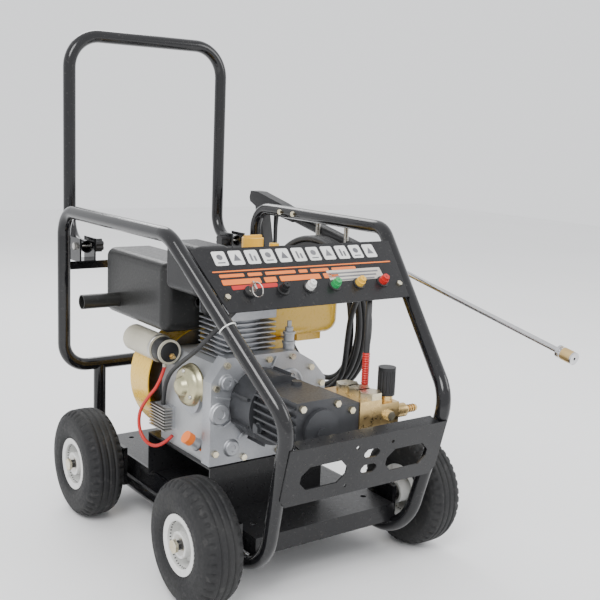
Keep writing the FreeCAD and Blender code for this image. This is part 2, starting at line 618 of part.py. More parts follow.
cover = padded("cover_blank", "XZ_Plane", "$cover_deep", draw_cover, back=True)
cover.Placement = Placement(Vector(0, S.engine_front, 0), Rotation())
cover_cuts = [box("gear_room", ("190", "$cover_deep - 8", "150"), (-168, S.engine_front + 8, 290)),
              crank_rod("stub_hole", "$stub_d / 2 + 1", S.engine_front, S.engine_front + 8)]
side_cover = fuse("side_cover", [rod("side_dish", "45", "10", (S.engine_left + 9, -18, 378), (-1, 0, 0)),
                                 rod("side_hub", "15", "18", (S.engine_left + 9, -18, 378), (-1, 0, 0))])
keep("engine_covers", group("engine_covers", [cut("gear_cover", cover, fuse("cover_cuts", cover_cuts)),
                                              side_cover]))

liner = rod("barrel", "$bore_d / 2 + 7", "$cylinder_tall", (S.crank_x, S.cylinder_y, S.case_top))
fins = [liner]
for level in range(8):
    fins.append(box("fin_%d" % level, ("2 * $cylinder_half", "2 * $cylinder_half", "3"),
                    (S.crank_x - S.cylinder_half, S.cylinder_y - S.cylinder_half,
                     S.case_top + 4 + 11 * level)))
cylinder_bore = rod("cylinder_bore", "$bore_d / 2", "$cylinder_tall", (S.crank_x, S.cylinder_y, S.case_top))
head_low = S.case_top + S.cylinder_tall
head = box("head", ("2 * $cylinder_half", "2 * $cylinder_half", "$head_tall"),
           (S.crank_x - S.cylinder_half, S.cylinder_y - S.cylinder_half, head_low))
rocker = box("rocker_cover", ("2 * $cylinder_half - 20", "2 * $cylinder_half - 10", "$rocker_tall"),
             (S.crank_x - S.cylinder_half + 10, S.cylinder_y - S.cylinder_half + 5, head_low + S.head_tall))
keep("cylinder_head", group("cylinder_head", [cut("cylinder", fuse("finned_barrel", fins), cylinder_bore),
                                              head, rocker]))

piston_low = head_low - S.throw - 52
piston_blank = rod("piston_blank", "$bore_d / 2 - $run_gap", "50", (S.crank_x, S.cylinder_y, piston_low))
piston_room = rod("piston_room", "$bore_d / 2 - 6", "40", (S.crank_x, S.cylinder_y, piston_low))
keep("piston", cut("piston", piston_blank, piston_room))

crank_parts = [crank_rod("crank_front", "$crank_d / 2", S.engine_front + 10, S.cylinder_y - 16),
               crank_rod("crank_rear", "$crank_d / 2", S.cylinder_y + 16, block_rear + 70),
               crank_rod("crank_stub", "$stub_d / 2", S.engine_front - 70, S.engine_front + 10),
               crank_rod("front_web", "$web_r", S.cylinder_y - 30, S.cylinder_y - 16),
               crank_rod("rear_web", "$web_r", S.cylinder_y + 16, S.cylinder_y + 30),
               crank_rod("crank_pin", "15", S.cylinder_y - 16, S.cylinder_y + 16, z=S.throw)]
keep("crankshaft", fuse("crankshaft", crank_parts))
fly_front = block_rear + 12
fly_disc = crank_rod("fly_disc", "$flywheel_r", fly_front, fly_front + S.flywheel_deep)
fly_cuts = [crank_rod("fly_bore", "$crank_d / 2", fly_front, fly_front + S.flywheel_deep),
            crank_rod("fly_dish", "$flywheel_r - 24", fly_front + 16, fly_front + S.flywheel_deep)]
fly_blades = []
for step in range(12):
    blade = box("blade_%d" % step, ("40", "$flywheel_deep - 16", "4"),
                (S.flywheel_r - 62, fly_front + 15, -2))
    turn = Placement(Vector(), Rotation(Vector(0, 1, 0), 30 * step))
    centre = Placement(Vector(S.crank_x, 0, S.crank_height), Rotation())
    blade.Placement = centre.multiply(turn).multiply(blade.Placement)
    fly_blades.append(blade)
keep("flywheel", fuse("flywheel", [cut("fly_body", fly_disc, fuse("fly_cuts", fly_cuts))] + fly_blades))


def blower_shape(front, deep, shrink):
    """Scroll round the flywheel with the duct that leads to the cylinder."""
    at = Vector(S.crank_x, front, S.crank_height)
    scroll = Part.makeCylinder(S.blower_r - shrink, deep, at, Vector(0, 1, 0))
    window = Part.makeBox(2 * S.blower_r, deep, 200 - 2 * shrink,
                          Vector(S.crank_x - S.blower_r, front, S.bed_top + 5 + shrink))
    shroud = Part.makeCylinder(S.shroud_r - shrink, deep, at, Vector(0, 1, 0))
    duct_front = S.cylinder_y + S.cylinder_half - (1 if shrink else 0)
    duct = Part.makeBox(82 - 2 * shrink, front + deep - duct_front, 140 - 2 * shrink,
                        Vector(-98 + shrink, duct_front, S.case_top + 1 + shrink))
    return scroll.common(window).fuse([shroud, duct])


inner_deep = S.blower_deep - S.blower_wall + 1
blower = blower_shape(S.blower_front, S.blower_deep, 0).cut(
    blower_shape(S.blower_front - 1, inner_deep, S.blower_wall))
rear_wall = S.blower_front + S.blower_deep - S.blower_wall
blower = blower.cut(Part.makeCylinder(62, S.blower_wall, Vector(S.crank_x, rear_wall, S.crank_height),
                                      Vector(0, 1, 0)))
for level in range(-2, 3):
    blower = blower.fuse(Part.makeBox(130, S.blower_wall, 6, Vector(S.crank_x - 65, rear_wall,
                                                                    S.crank_height + 24 * level - 3)))
blower = blower.cut(Part.makeCylinder(31, 200, Vector(starter_x, 50, starter_height), Vector(0, 1, 0)))
keep("blower_housing", solid("blower_housing", blower))

starter = [rod("starter_body", "31", "134", (starter_x, 100, starter_height), crank_axis),
           rod("starter_cap", "28", "38", (starter_x, 62, starter_height), crank_axis),
           rod("starter_post", "5", "12", (starter_x, 84, starter_height - 26), (0, 0, -1))]
keep("starter_motor", fuse("starter_motor", starter))
regulator = [box("regulator_base", ("8", "60", "50"), (S.engine_left + 1, 60, 275))]
for step in range(7):
    regulator.append(box("regulator_fin_%d" % step, ("16", "3", "50"),
                         (S.engine_left - 14, 62 + 9 * step - 2 * (step == 6), 275)))
keep("voltage_regulator", fuse("voltage_regulator", regulator))
oil_way = (-0.8, 0, 0.6)
oil_tube = rod("oil_tube", "9", "36", (S.engine_left + 15, -52, 262), oil_way)
oil_cap = rod("oil_cap", "14", "16", (S.engine_left + 15 - 0.8 * 36, -52, 262 + 0.6 * 36), oil_way)
oil_trim = box("oil_trim", ("30", "40", "50"), (S.engine_left + 9, -72, 240))
keep("oil_plug", cut("oil_plug", fuse("oil_blank", [oil_tube, oil_cap]), oil_trim))

# ---- muffler, fuel tank, air cleaner ------------------------------------


def rounded(low, size, radius):
    """A block with every edge rounded."""
    block_shape = Part.makeBox(size[0], size[1], size[2], Vector(*low))
    return block_shape.makeFillet(radius, block_shape.Edges)


def hollow_box(low, size, radius, wall):
    outside = rounded(low, size, radius)
    inside = rounded([v + wall for v in low], [v - 2 * wall for v in size], radius - wall)
    return outside, inside


muffler_low = (S.muffler_left, S.muffler_front, S.muffler_low)
muffler_size = (S.muffler_wide, S.muffler_long, S.muffler_tall)
outside, inside = hollow_box(muffler_low, muffler_size, S.muffler_round, S.muffler_wall)
port_height = head_low + S.head_tall / 2
port_x = S.crank_x - S.cylinder_half + 8
port_y = S.cylinder_y + S.cylinder_half
tail_at = Vector(S.muffler_left + 10, S.tailpipe_y, S.tailpipe_height)
outside = outside.fuse([Part.makeCylinder(S.tailpipe_d / 2, S.tailpipe_long + 10, tail_at, Vector(-1, 0, 0)),
                        Part.makeCylinder(16, 20, Vector(port_x - 3, port_y, port_height), Vector(0, 1, 0))])
inside = inside.fuse([Part.makeCylinder(S.tailpipe_d / 2 - 2, S.tailpipe_long + 10, tail_at,
                                        Vector(-1, 0, 0)),
                      Part.makeCylinder(13, 20, Vector(port_x - 3, port_y, port_height), Vector(0, 1, 0))])
keep("muffler", solid("muffler", outside.cut(inside)))

tank_low = (S.tank_left, S.tank_front, S.tank_low)
tank_size = (S.tank_wide, S.tank_long, S.tank_tall)
outside, inside = hollow_box(tank_low, tank_size, S.tank_round, S.tank_wall)
tank_top = S.tank_low + S.tank_tall
sump = Part.makeBox(70, 120, 26, Vector(112, 30, S.tank_low - 18))
neck = Part.makeCylinder(S.neck_d / 2, S.neck_tall + 5, Vector(S.cap_x, S.cap_y, tank_top - 5))
throat = Part.makeCylinder(S.neck_d / 2 - 3, S.neck_tall + 12, Vector(S.cap_x, S.cap_y, tank_top - 12))
sump_room = Part.makeBox(64, 114, 26, Vector(115, 33, S.tank_low - 15))
tank = outside.fuse([sump, neck]).cut(inside.fuse([throat, sump_room]))
gauge = Part.makeCylinder(12, 18, Vector(118, 148, tank_top))
feet = []
for y in (-4, 64):
    feet.append(Part.makeBox(50, 24, S.tank_low - S.case_top + 8, Vector(5, y, S.case_top - 8)))
keep("fuel_tank", solid("fuel_tank", Part.makeCompound([tank, gauge] + feet)))
cap_skirt = rod("cap_skirt", "$cap_d / 2", "$cap_tall + 12", (S.cap_x, S.cap_y, tank_top + S.neck_tall - 12))
cap_grip = box("cap_grip", ("$cap_d - 6", "9", "7"), (S.cap_x - S.cap_d / 2 + 3, S.cap_y - 4.5,
                                                     tank_top + S.neck_tall + S.cap_tall - 1))
cap_bore = rod("cap_bore", "$neck_d / 2 + $run_gap", "12", (S.cap_x, S.cap_y, tank_top + S.neck_tall - 12))
keep("fuel_cap", cut("fuel_cap", fuse("cap_blank", [cap_skirt, cap_grip]), cap_bore))

air_low = (-235, -88, 600)
outside, inside = hollow_box(air_low, (85, 138, 106), 16, 2.5)
elbow = Part.makeCylinder(16, 42, Vector(-165, -20, port_height))
elbow = elbow.fuse([Part.makeSphere(16, Vector(-165, -20, port_height)),
                    Part.makeCylinder(16, 20, Vector(-165, -20, port_height), Vector(1, 0, 0))])
airway = Part.makeCylinder(13, 50, Vector(-165, -20, port_height))
airway = airway.fuse([Part.makeSphere(13, Vector(-165, -20, port_height)),
                      Part.makeCylinder(13, 20, Vector(-165, -20, port_height), Vector(1, 0, 0))])
keep("air_cleaner", solid("air_cleaner", outside.fuse(elbow).cut(inside.fuse(airway))))

# ---- pump ----------------------------------------------------------------

pump_rear = S.pump_front + S.pump_long
valve_y = [-270 + step * S.valve_pitch for step in (-1, 0, 1)]
adapter = [crank_rod("adapter_drum", "$adapter_r", pump_rear, S.engine_front)]
for step in range(8):
    rib = box("adapter_rib_%d" % step, ("10", "60", "6"), (S.adapter_r - 3, pump_rear + 8, -3))
    turn = Placement(Vector(), Rotation(Vector(0, 1, 0), 45 * step + 22.5))
    rib.Placement = Placement(Vector(S.crank_x, 0, S.crank_height),
                              Rotation()).multiply(turn).multiply(rib.Placement)
    adapter.append(rib)
adapter_cuts = [crank_rod("adapter_room", "$adapter_r - 14", pump_rear + S.flange_deep, S.engine_front),
                crank_rod("adapter_hole", "22", pump_rear, pump_rear + S.flange_deep)]
keep("pump_adapter", cut("pump_adapter", fuse("adapter_blank", adapter), fuse("adapter_cuts", adapter_cuts)))

case_parts = [box("case_block", ("$pump_mid - $pump_left", "$pump_long", "$pump_top - $pump_low"),
                  (S.pump_left, S.pump_front, S.pump_low)),
              box("plunger_block", ("$pump_right - $pump_mid + 4", "$pump_long", "$block_top - $pump_low"),
                  (S.pump_mid - 4, S.pump_front, S.pump_low)),
              crank_rod("case_nose", "41", S.pump_front - 10, S.pump_front + 6),
              rod("sight_ring", "13", "14", (S.crank_x, S.pump_front, S.crank_height - 8), (0, -1, 0)),
              rod("filler_boss", "11", "8", (S.pump_mid - 28, pump_rear - 24, S.pump_top))]
for step in range(6):
    case_parts.append(box("case_fin_%d" % step, ("14", "$pump_long - 10", "4"),
                          (S.pump_left - 12, S.pump_front + 5, S.pump_low + 8 + 16 * step)))
case_parts.append(rod("drain_boss", "12", "10", (S.pump_left, pump_rear - 22, S.pump_low + 21), (-1, 0, 0)))
case_parts.append(hexagon("drain_plug", "20", "8", (S.pump_left - 10, pump_rear - 22, S.pump_low + 21),
                          (-1, 0, 0)))
case_cuts = [crank_rod("eccentric_room", "34", S.pump_front + 8, pump_rear - 8),
             crank_rod("shaft_hole", "20 + $run_gap", pump_rear - 8, pump_rear),
             crank_rod("nose_journal", "12 + $run_gap", S.pump_front, S.pump_front + 8)]
for step, y in enumerate(valve_y):
    case_cuts.append(rod("plunger_way_%d" % step, "$plunger_d / 2 + $run_gap", "$pump_right - $crank_x",
                         (S.crank_x, y, S.crank_height), (1, 0, 0)))
keep("pump_crankcase", cut("pump_crankcase", fuse("case_blank", case_parts), fuse("case_cuts", case_cuts)))

shaft_parts = [crank_rod("shaft_sleeve", "20", pump_rear - 8, pump_rear + 40),
               crank_rod("shaft_core", "12", S.pump_front + 1, pump_rear - 8)]
for step, y in enumerate(valve_y):
    angle = math.radians(120 * step)
    shaft_parts.append(crank_rod("eccentric_%d" % step, "20", y - 8, y + 8, 6 * math.cos(angle),
                                 6 * math.sin(angle)))
shaft_socket = crank_rod("shaft_socket", "$stub_d / 2", S.engine_front - 70, pump_rear + 40)
keep("pump_shaft", cut("pump_shaft", fuse("shaft_blank", shaft_parts), shaft_socket))
for step, y in enumerate(valve_y):
    keep("plunger_%d" % (step + 1), rod("plunger_%d" % (step + 1), "$plunger_d / 2",
                                        "$pump_right - $crank_x - 25",
                                        (S.crank_x + 29, y, S.crank_height), (1, 0, 0)))

manifold_front = -328
brass = [box("manifold_block", ("$manifold_wide", "$manifold_long", "$manifold_top - $manifold_low"),
             (S.pump_right, manifold_front, S.manifold_low)),
         box("unloader_block", ("54", "44", "56"), (S.pump_right + S.manifold_wide, S.unloader_y - 22, 336)),
         rod("unloader_neck", "15", "13", (S.unloader_x, S.unloader_y, 392)),
         box("outlet_block", ("49", "36", "46"), (S.pump_right + S.manifold_wide, S.outlet_y - 18, 346)),
         hexagon("outlet_nut", "24", "$restrictor_low - 392", (S.outlet_x, S.outlet_y, 392)),
         rod("inlet_arm", "$inlet_d / 2", "34", (130, S.unloader_y, 364), (1, 0, 0)),
         cone("inlet_flare", "$inlet_d / 2", "9", "6", (164, S.unloader_y, 364), (1, 0, 0))]
for step in range(4):
    brass.append(cone("barb_%d" % step, "9", "7", "7", (170 + 7 * step, S.unloader_y, 364), (1, 0, 0)))
brass_cuts = [rod("inlet_way", "5", "120", (90, S.unloader_y, 364), (1, 0, 0)),
              rod("unloader_thread", "7 + $run_gap", "24", (S.unloader_x, S.unloader_y, 381))]
for step, y in enumerate(valve_y):
    brass_cuts.append(rod("chamber_%d" % step, "$plunger_d / 2 + 0.5", "28",
                          (S.pump_right, y, S.crank_height),
                          (1, 0, 0)))
keep("manifold", cut("manifold", fuse("manifold_blank", brass), fuse("manifold_cuts", brass_cuts)))

knob_low = S.restrictor_low + 3
knob_parts = [rod("unloader_grip", "$unloader_knob_d / 2", "$unloader_knob_tall",
                  (S.unloader_x, S.unloader_y, knob_low)),
              rod("unloader_stem", "7", "20", (S.unloader_x, S.unloader_y, knob_low - 20))]
knob_grooves = []
for step in range(16):
    angle = 2 * math.pi * step / 16
    spot = (S.unloader_x + 20.5 * math.cos(angle), S.unloader_y + 20.5 * math.sin(angle), knob_low + 6)
    knob_grooves.append(rod("knob_groove_%d" % step, "2.8", "$unloader_knob_tall - 14", spot))
keep("unloader_knob", cut("unloader_knob", fuse("knob_blank", knob_parts),
                          fuse("knob_grooves", knob_grooves)))

# ---- hexagon bolts and plugs --------------------------------------------

fasteners = []
cover_bolts = [(-168, 455), (-193, 408), (-193, 340), (-193, 265), (-121, 247), (-30, 247), (48, 248),
               (83, 312), (83, 388), (52, 428), (-62, 458), (0, 458)]
for step, (x, z) in enumerate(cover_bolts):
    fasteners.append(hexagon("cover_bolt_%d" % step, "15", "7", (x, S.engine_front, z), (0, -1, 0)))
for step, (x, z) in enumerate(((S.pump_left + 12, 334), (S.pump_mid - 12, 334), (S.pump_left + 12, 413),
                               (S.pump_mid - 12, 413), (-4, 334), (-4, 394))):
    fasteners.append(hexagon("pump_bolt_%d" % step, "15", "7", (x, S.pump_front, z), (0, -1, 0)))
for step, y in enumerate(valve_y):
    fasteners.append(hexagon("valve_cap_%d" % step, "$valve_hex + 3", "14", (S.valve_x, y, S.manifold_top)))
fasteners.append(hexagon("port_plug", "22", "9", (S.unloader_x - 8, S.unloader_y - 22, 366), (0, -1, 0)))
for step, y in enumerate((283, 343)):
    shank = rod("hook_shank_%d" % step, "4", "35", (S.rail_half - half_od, y, S.rail_height), (1, 0, 0))
    head = hexagon("hook_head_%d" % step, "14", "6", (S.rail_half - half_od, y, S.rail_height), (-1, 0, 0))
    fasteners.append(fuse("hook_bolt_%d" % step, [shank, head]))
for hand, side in (("left", -1), ("right", 1)):
    shank = rod(hand + "_panel_shank", "3", "$panel_lift + $panel_sheet - 4", (side * bolt_x, bolt_up, 4))
    head = hexagon(hand + "_panel_head", "13", "5", (side * bolt_x, bolt_up, panel_face_z))
    nut = hexagon(hand + "_panel_nut", "13", "4", (side * bolt_x, bolt_up, 4))
    panel_bolt = fuse(hand + "_panel_bolt", [shank, head, nut])
    panel_bolt.Placement = on_legs
    fasteners.append(panel_bolt)
for end_name, wheel_y in (("front", S.wheel_front), ("rear", S.wheel_rear)):
    for hand, side in (("left", -1), ("right", 1)):
        fasteners.append(hexagon("axle_nut_%s_%s" % (hand, end_name), "30", "6",
                                 (side * S.axle_end, wheel_y, axle_height), (side, 0, 0)))
keep("hex_fasteners", group("hex_fasteners", fasteners))

# ---- gun and lance -------------------------------------------------------

# The gun's own frame: Y runs back along the lance, Z is up from it.
gun_turn = Rotation(Vector(1, 0, 0), math.degrees(math.atan(S.lance_slope)))
on_gun = Placement(Vector(S.gun_x, S.gun_rear_y, S.gun_rear_height), gun_turn)


def lance_height(y):
    return S.gun_rear_height - (S.gun_rear_y - y) * S.lance_slope


def draw_gun(item):
    polygon(item, [("-$grip_rear", "-14"), ("-152", "-17"), ("-106", "-19"), ("-106", "-24"), ("-64", "-24"),
                   ("-112", "-126"), ("-84", "-132"), ("-34", "-22"), ("-4", "-16"), ("2", "-6"),
                   ("0", "14"), ("-36", "21"), ("-150", "19"), ("-$grip_rear", "14")])


trigger_y = -120
trigger_z = -8
gun_shell = padded("gun_shell", "YZ_Plane", "31", draw_gun, midplane=True)
gun_parts = [gun_shell,
             rod("lance_grip", "$grip_d / 2", "$grip_front - $grip_rear + 8", (0, -S.grip_front, 0),
                 (0, 1, 0)),
             rod("hose_swivel", "9", "14", (0, -98, -121), (0, -0.1, -0.995))]
gun_slot = box("gun_slot", ("9", "42", "30"), (-4.5, trigger_y - 20, -30))
trigger_pin = rod("trigger_pin", "3", "24", (-12, trigger_y, trigger_z), (1, 0, 0))
lance_bore = rod("lance_bore", "$lance_d / 2", "24", (0, -S.grip_front, 0), (0, 1, 0))
gun_cuts = fuse("gun_cuts", [gun_slot, lance_bore])
gun = fuse("gun_body", [cut("gun_blank", fuse("gun_solid", gun_parts), gun_cuts), trigger_pin])
gun.Placement = on_gun
keep("gun_body", gun)


def draw_trigger(item):
    polygon(item, [("%d" % (trigger_y - 7), "%d" % (trigger_z - 6)),
                   ("%d" % (trigger_y - 6), "%d" % (trigger_z + 6)),
                   ("%d" % (trigger_y + 6), "%d" % (trigger_z + 6)),
                   ("%d" % (trigger_y + 7), "%d" % (trigger_z - 6)),
                   ("%d" % (trigger_y - 2), "-60"), ("%d" % (trigger_y - 12), "-104"),
                   ("%d" % (trigger_y - 20), "-102"), ("%d" % (trigger_y - 11), "-58")])
    circle(item, "%d" % trigger_y, "%d" % trigger_z, "3 + $run_gap")


trigger = padded("trigger_blade", "YZ_Plane", "8", draw_trigger, midplane=True)
trigger.Placement = on_gun
keep("trigger", trigger)

tip_long = (S.gun_rear_y - S.lance_tip_y) / math.cos(math.atan(S.lance_slope))
lance_parts = [rod("lance_tube", "$lance_d / 2", "%s - $grip_front + 20" % (tip_long - S.coupler_long),
                   (0, S.coupler_long - tip_long, 0), (0, 1, 0)),
               rod("coupler_core", "$coupler_d / 2 - 4", "$coupler_long", (0, -tip_long, 0), (0, 1, 0)),
               rod("coupler_stop", "$coupler_d / 2", "6", (0, S.coupler_long - 6 - tip_long, 0), (0, 1, 0)),
               rod("coupler_nose", "$coupler_d / 2", "4", (0, -tip_long, 0), (0, 1, 0))]
lance_way = rod("lance_way", "3", "%s - $grip_front + 40" % tip_long, (0, -tip_long, 0), (0, 1, 0))
lance = cut("lance", fuse("lance_blank", lance_parts), lance_way)
lance.Placement = on_gun
keep("lance", lance)
collar_ring = rod("collar_ring", "$coupler_d / 2", "$coupler_long - 16", (0, 4 - tip_long, 0), (0, 1, 0))
collar_bore = rod("collar_bore", "$coupler_d / 2 - 4 + $run_gap", "$coupler_long", (0, 2 - tip_long, 0),
                  (0, 1, 0))
collar = cut("coupler_collar", collar_ring, collar_bore)
collar.Placement = on_gun
keep("coupler_collar", collar)

# ---- hose hooks, hose and cables ----------------------------------------

hook_plate_x = S.rail_half + half_od
hook_rod_x = hook_plate_x - 2.5
hook_r = S.hook_d / 2
hooks = [Part.makeBox(3, 275, 16, Vector(hook_plate_x, 90, S.rail_height - 8))]
coil_hang = S.coil_r - S.coil_deep - hook_r
for y in (2 * S.coil_y - 216, 216):
    arm_z = lance_height(y) - (S.grip_d / 2 + hook_r) / math.cos(math.atan(S.lance_slope))
    bar_z = S.coil_height + math.sqrt(coil_hang ** 2 - (y - S.coil_y) ** 2)
    hooks.append(Part.makeBox(3, 16, 44, Vector(hook_plate_x, y - 8, S.rail_height - 51)))
    hooks.append(Part.makeCylinder(hook_r, S.rail_height - 18 - bar_z, Vector(hook_rod_x, y, bar_z)))
    hooks.append(Part.makeSphere(hook_r, Vector(hook_rod_x, y, bar_z)))
    hooks.append(Part.makeCylinder(hook_r, hook_rod_x - S.coil_left - 2, Vector(hook_rod_x, y, bar_z),
                                   Vector(-1, 0, 0)))
    hooks.append(Part.makeCylinder(hook_r, 340 - hook_rod_x, Vector(hook_rod_x, y, arm_z), Vector(1, 0, 0)))
    hooks.append(Part.makeSphere(hook_r, Vector(340, y, arm_z)))
    hooks.append(Part.makeCylinder(hook_r, 24, Vector(340, y, arm_z)))
hook_shape = hooks[0].fuse(hooks[1:])
for y in (283, 343):
    hook_shape = hook_shape.cut(Part.makeCylinder(4, 10, Vector(hook_plate_x - 4, y, S.rail_height),
                                                  Vector(1, 0, 0)))
keep("hose_hooks", solid("hose_hooks", hook_shape))

keep("bend_restrictor", rod("bend_restrictor", "$restrictor_d / 2", "$restrictor_tall",
                            (S.outlet_x, S.outlet_y, S.restrictor_low)))
coil_at = (S.coil_left, S.coil_y, S.coil_height)
keep("hose_coil", cut("hose_coil", rod("coil_outer", "$coil_r", "$coil_wide", coil_at, (1, 0, 0)),
                      rod("coil_inner", "$coil_r - $coil_deep", "$coil_wide", coil_at, (1, 0, 0))))


def cord(points, diameter, name):
    radii = arc_radii(points)
    print(name, "bend radii", [round(r) for r in radii])
    return swept(points, radii, diameter)


def trimmed(shape, hosts):
    """A cord cut back to the faces of the pieces it ends on."""
    return shape.cut([nodes[host].Shape for host in hosts])


doc.recompute()
coil_right = S.coil_left + S.coil_wide
outlet_run = [(S.outlet_x, S.outlet_y, S.restrictor_low + S.restrictor_tall),
              (S.outlet_x + 4, S.outlet_y + 4, 542), (132, -205, 592), (176, -150, 606),
              (206, -86, 588), (217, -45, 532), (217, -30, 478)]
gun_end = on_gun.multVec(Vector(0, -99.4, -134.9))
gun_run = [tuple(gun_end), (S.gun_x, gun_end.y + 10, 547), (S.gun_x - 5, 461, 496),
           (S.gun_x - 15, 400, 455), (S.gun_x - 23, 348, 410), (coil_right + 8.3, 303, 360)]
hose_shape = Part.makeCompound([cord(outlet_run, S.hose_d, "outlet hose"),
                                cord(gun_run, S.hose_d, "gun hose")])
keep("hose_runs", solid("hose_runs", trimmed(hose_shape, ("bend_restrictor", "gun_body", "hose_coil"))))
starter_run = [(starter_x, 84, starter_height - 38), (-224, 86, 374), (-237, 118, 336), (-239, 157, 291),
               (-240, 150, 246), (-233, 114, 223), (-218, 77, 232), (S.engine_left + 2, 60, 258)]
switch_back = on_legs.multVec(Vector(S.switch_x, S.nozzle_run, -18))
panel_run = [tuple(switch_back), (switch_back.x - 8, switch_back.y + 32, switch_back.z - 34),
             (-206, -104, 524),
             (-222, -62, 478), (-223, -6, 444), (-219, 48, 408), (-212, 84, 366), (-211, 90, 325)]
cable_shape = Part.makeCompound([cord(starter_run, 8, "starter cable"), cord(panel_run, 10, "panel cable")])
cable_ends = ("starter_motor", "engine_block", "ignition_switch", "voltage_regulator", "blower_housing")
keep("cables", solid("cables", trimmed(cable_shape, cable_ends)))

# ---- checks and export ---------------------------------------------------

doc.recompute()
for item in doc.Objects:
    if "Invalid" in item.State or "Error" in item.State:
        raise RuntimeError("%s failed: %s" % (item.Name, item.State))
for label, item in nodes.items():
    if item.Shape.isNull() or not item.Shape.isValid():
        raise RuntimeError("%s has no valid shape" % label)

os.makedirs("parts", exist_ok=True)
for label, item in nodes.items():
    item.Shape.exportStep("parts/%s.step" % label)
whole = FreeCAD.BoundBox()
for item in nodes.values():
    whole.add(item.Shape.BoundBox)
print("%d nodes, box %s" % (len(nodes), whole))
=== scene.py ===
import math

import bpy
import numpy as np
from mathutils import Matrix, Vector


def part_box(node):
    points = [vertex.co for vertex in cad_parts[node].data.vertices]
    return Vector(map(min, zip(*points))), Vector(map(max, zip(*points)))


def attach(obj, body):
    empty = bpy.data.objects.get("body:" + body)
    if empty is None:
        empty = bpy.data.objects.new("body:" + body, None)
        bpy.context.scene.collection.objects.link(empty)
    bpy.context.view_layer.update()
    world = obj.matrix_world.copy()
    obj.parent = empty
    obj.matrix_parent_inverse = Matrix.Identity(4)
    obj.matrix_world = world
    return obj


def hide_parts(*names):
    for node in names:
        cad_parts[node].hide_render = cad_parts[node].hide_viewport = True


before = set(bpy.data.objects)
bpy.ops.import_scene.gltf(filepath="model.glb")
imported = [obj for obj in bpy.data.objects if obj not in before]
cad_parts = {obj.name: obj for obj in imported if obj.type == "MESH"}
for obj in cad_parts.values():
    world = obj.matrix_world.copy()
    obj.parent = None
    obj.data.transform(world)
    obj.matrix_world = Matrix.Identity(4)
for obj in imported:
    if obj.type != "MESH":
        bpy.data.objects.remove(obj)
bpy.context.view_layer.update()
mm = 0.001

# camera: where it stands, where it looks, its roll, and its lens
cameraLook = {"place": (-1191.2, -1750.5, 949.0), "heading": 36.3, "dip": 10.2, "roll": 2.4, "lens": 56.7}


# the camera's axes from its heading and dip, turned about the line of sight by the roll
def addCamera(look):
    heading, dip, roll = (math.radians(look[key]) for key in ("heading", "dip", "roll"))
    ahead = Vector((math.sin(heading) * math.cos(dip), math.cos(heading) * math.cos(dip), -math.sin(dip)))
    level = Vector((math.cos(heading), -math.sin(heading), 0.0))
    below = ahead.cross(level)
    right = level * math.cos(roll) - below * math.sin(roll)
    up = right.cross(ahead)
    turn = Matrix((right, up, -ahead)).transposed().to_4x4()
    data = bpy.data.cameras.new("camera")
    data.lens = look["lens"]
    data.sensor_width = 36
    data.clip_start = 0.05
    camera = bpy.data.objects.new("camera", data)
    bpy.context.scene.collection.objects.link(camera)
    camera.matrix_world = Matrix.Translation(Vector(look["place"]) * mm) @ turn
    bpy.context.scene.camera = camera


addCamera(cameraLook)


# a free line: a second-degree NURBS with the route's points as its control points, and a round section
def addCord(name, points, diameter):
    curve = bpy.data.curves.new(name, "CURVE")
    curve.dimensions = "3D"
    spline = curve.splines.new("NURBS")
    spline.points.add(len(points) - 1)
    spline.points.foreach_set("co", np.column_stack([np.array(points) * mm, np.ones(len(points))]).ravel())
    spline.order_u = 3
    spline.use_endpoint_u = True
    curve.resolution_u = 8
    curve.bevel_depth = diameter * mm / 2
    curve.bevel_resolution = 5
    curve.use_fill_caps = True
    cord = bpy.data.objects.new(name, curve)
    bpy.context.scene.collection.objects.link(cord)
    return cord


hoseSizes = {"diameter": 14.0, "length": 8.6, "pointsPerTurn": 16, "ring": (157.0, 482.0),
             "turns": (0.10, 3.20, 3.38, 5.80, 6.00, 6.28, 6.37),
             "radii": (197.0, 197.0, 181.8, 181.8, 166.0, 166.0, 183.0),
             "across": (233.4, 280.4, 280.4, 243.0, 241.0, 294.0, 296.3)}


# coil: radius and place across change in steps as the angle runs on
# the radius is divided by how far the spline shrinks its control points
def coilPoints(look):
    turn = np.arange(look["turns"][0], look["turns"][-1], 1 / look["pointsPerTurn"])
    shrink = (6 + 2 * math.cos(2 * math.pi / look["pointsPerTurn"])) / 8
    radius = np.interp(turn, look["turns"], look["radii"]) / shrink
    across = np.interp(turn, look["turns"], look["across"])
    angle = 2 * math.pi * turn
    return np.column_stack([across, look["ring"][0] - radius * np.cos(angle),
                            look["ring"][1] - radius * np.sin(angle)])


outletRun = [(105, -236, 482), (109, -232, 542), (132, -205, 592), (176, -150, 606), (206, -86, 588),
             (217, -45, 532), (218, -32, 470)]
gunRun = [(321, 480.5, 605.4), (321, 490.5, 547), (316, 461, 496), (306, 400, 455), (298, 348, 410)]
hosePoints = np.vstack([outletRun, coilPoints(hoseSizes), gunRun[::-1]])
hose = addCord("hose", hosePoints, hoseSizes["diameter"])
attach(hose, "frame")
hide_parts("hose_coil", "hose_runs")

starterPoints = [(-212, 84, 414), (-224, 86, 374), (-237, 118, 336), (-239, 157, 291), (-240, 150, 246),
                 (-233, 114, 223), (-218, 77, 232), (-203, 60, 258)]
panelPoints = [(-168, -165.2, 602.2), (-176, -133.2, 568.2), (-206, -104, 524), (-222, -62, 478),
               (-223, -6, 444), (-219, 48, 408), (-212, 84, 366), (-211, 90, 325)]
starterCable = addCord("starterCable", starterPoints, 8.0)
panelCable = addCord("panelCable", panelPoints, 10.0)
for cable in (starterCable, panelCable):
    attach(cable, "frame")
    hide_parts("cables")
print("cords laid")


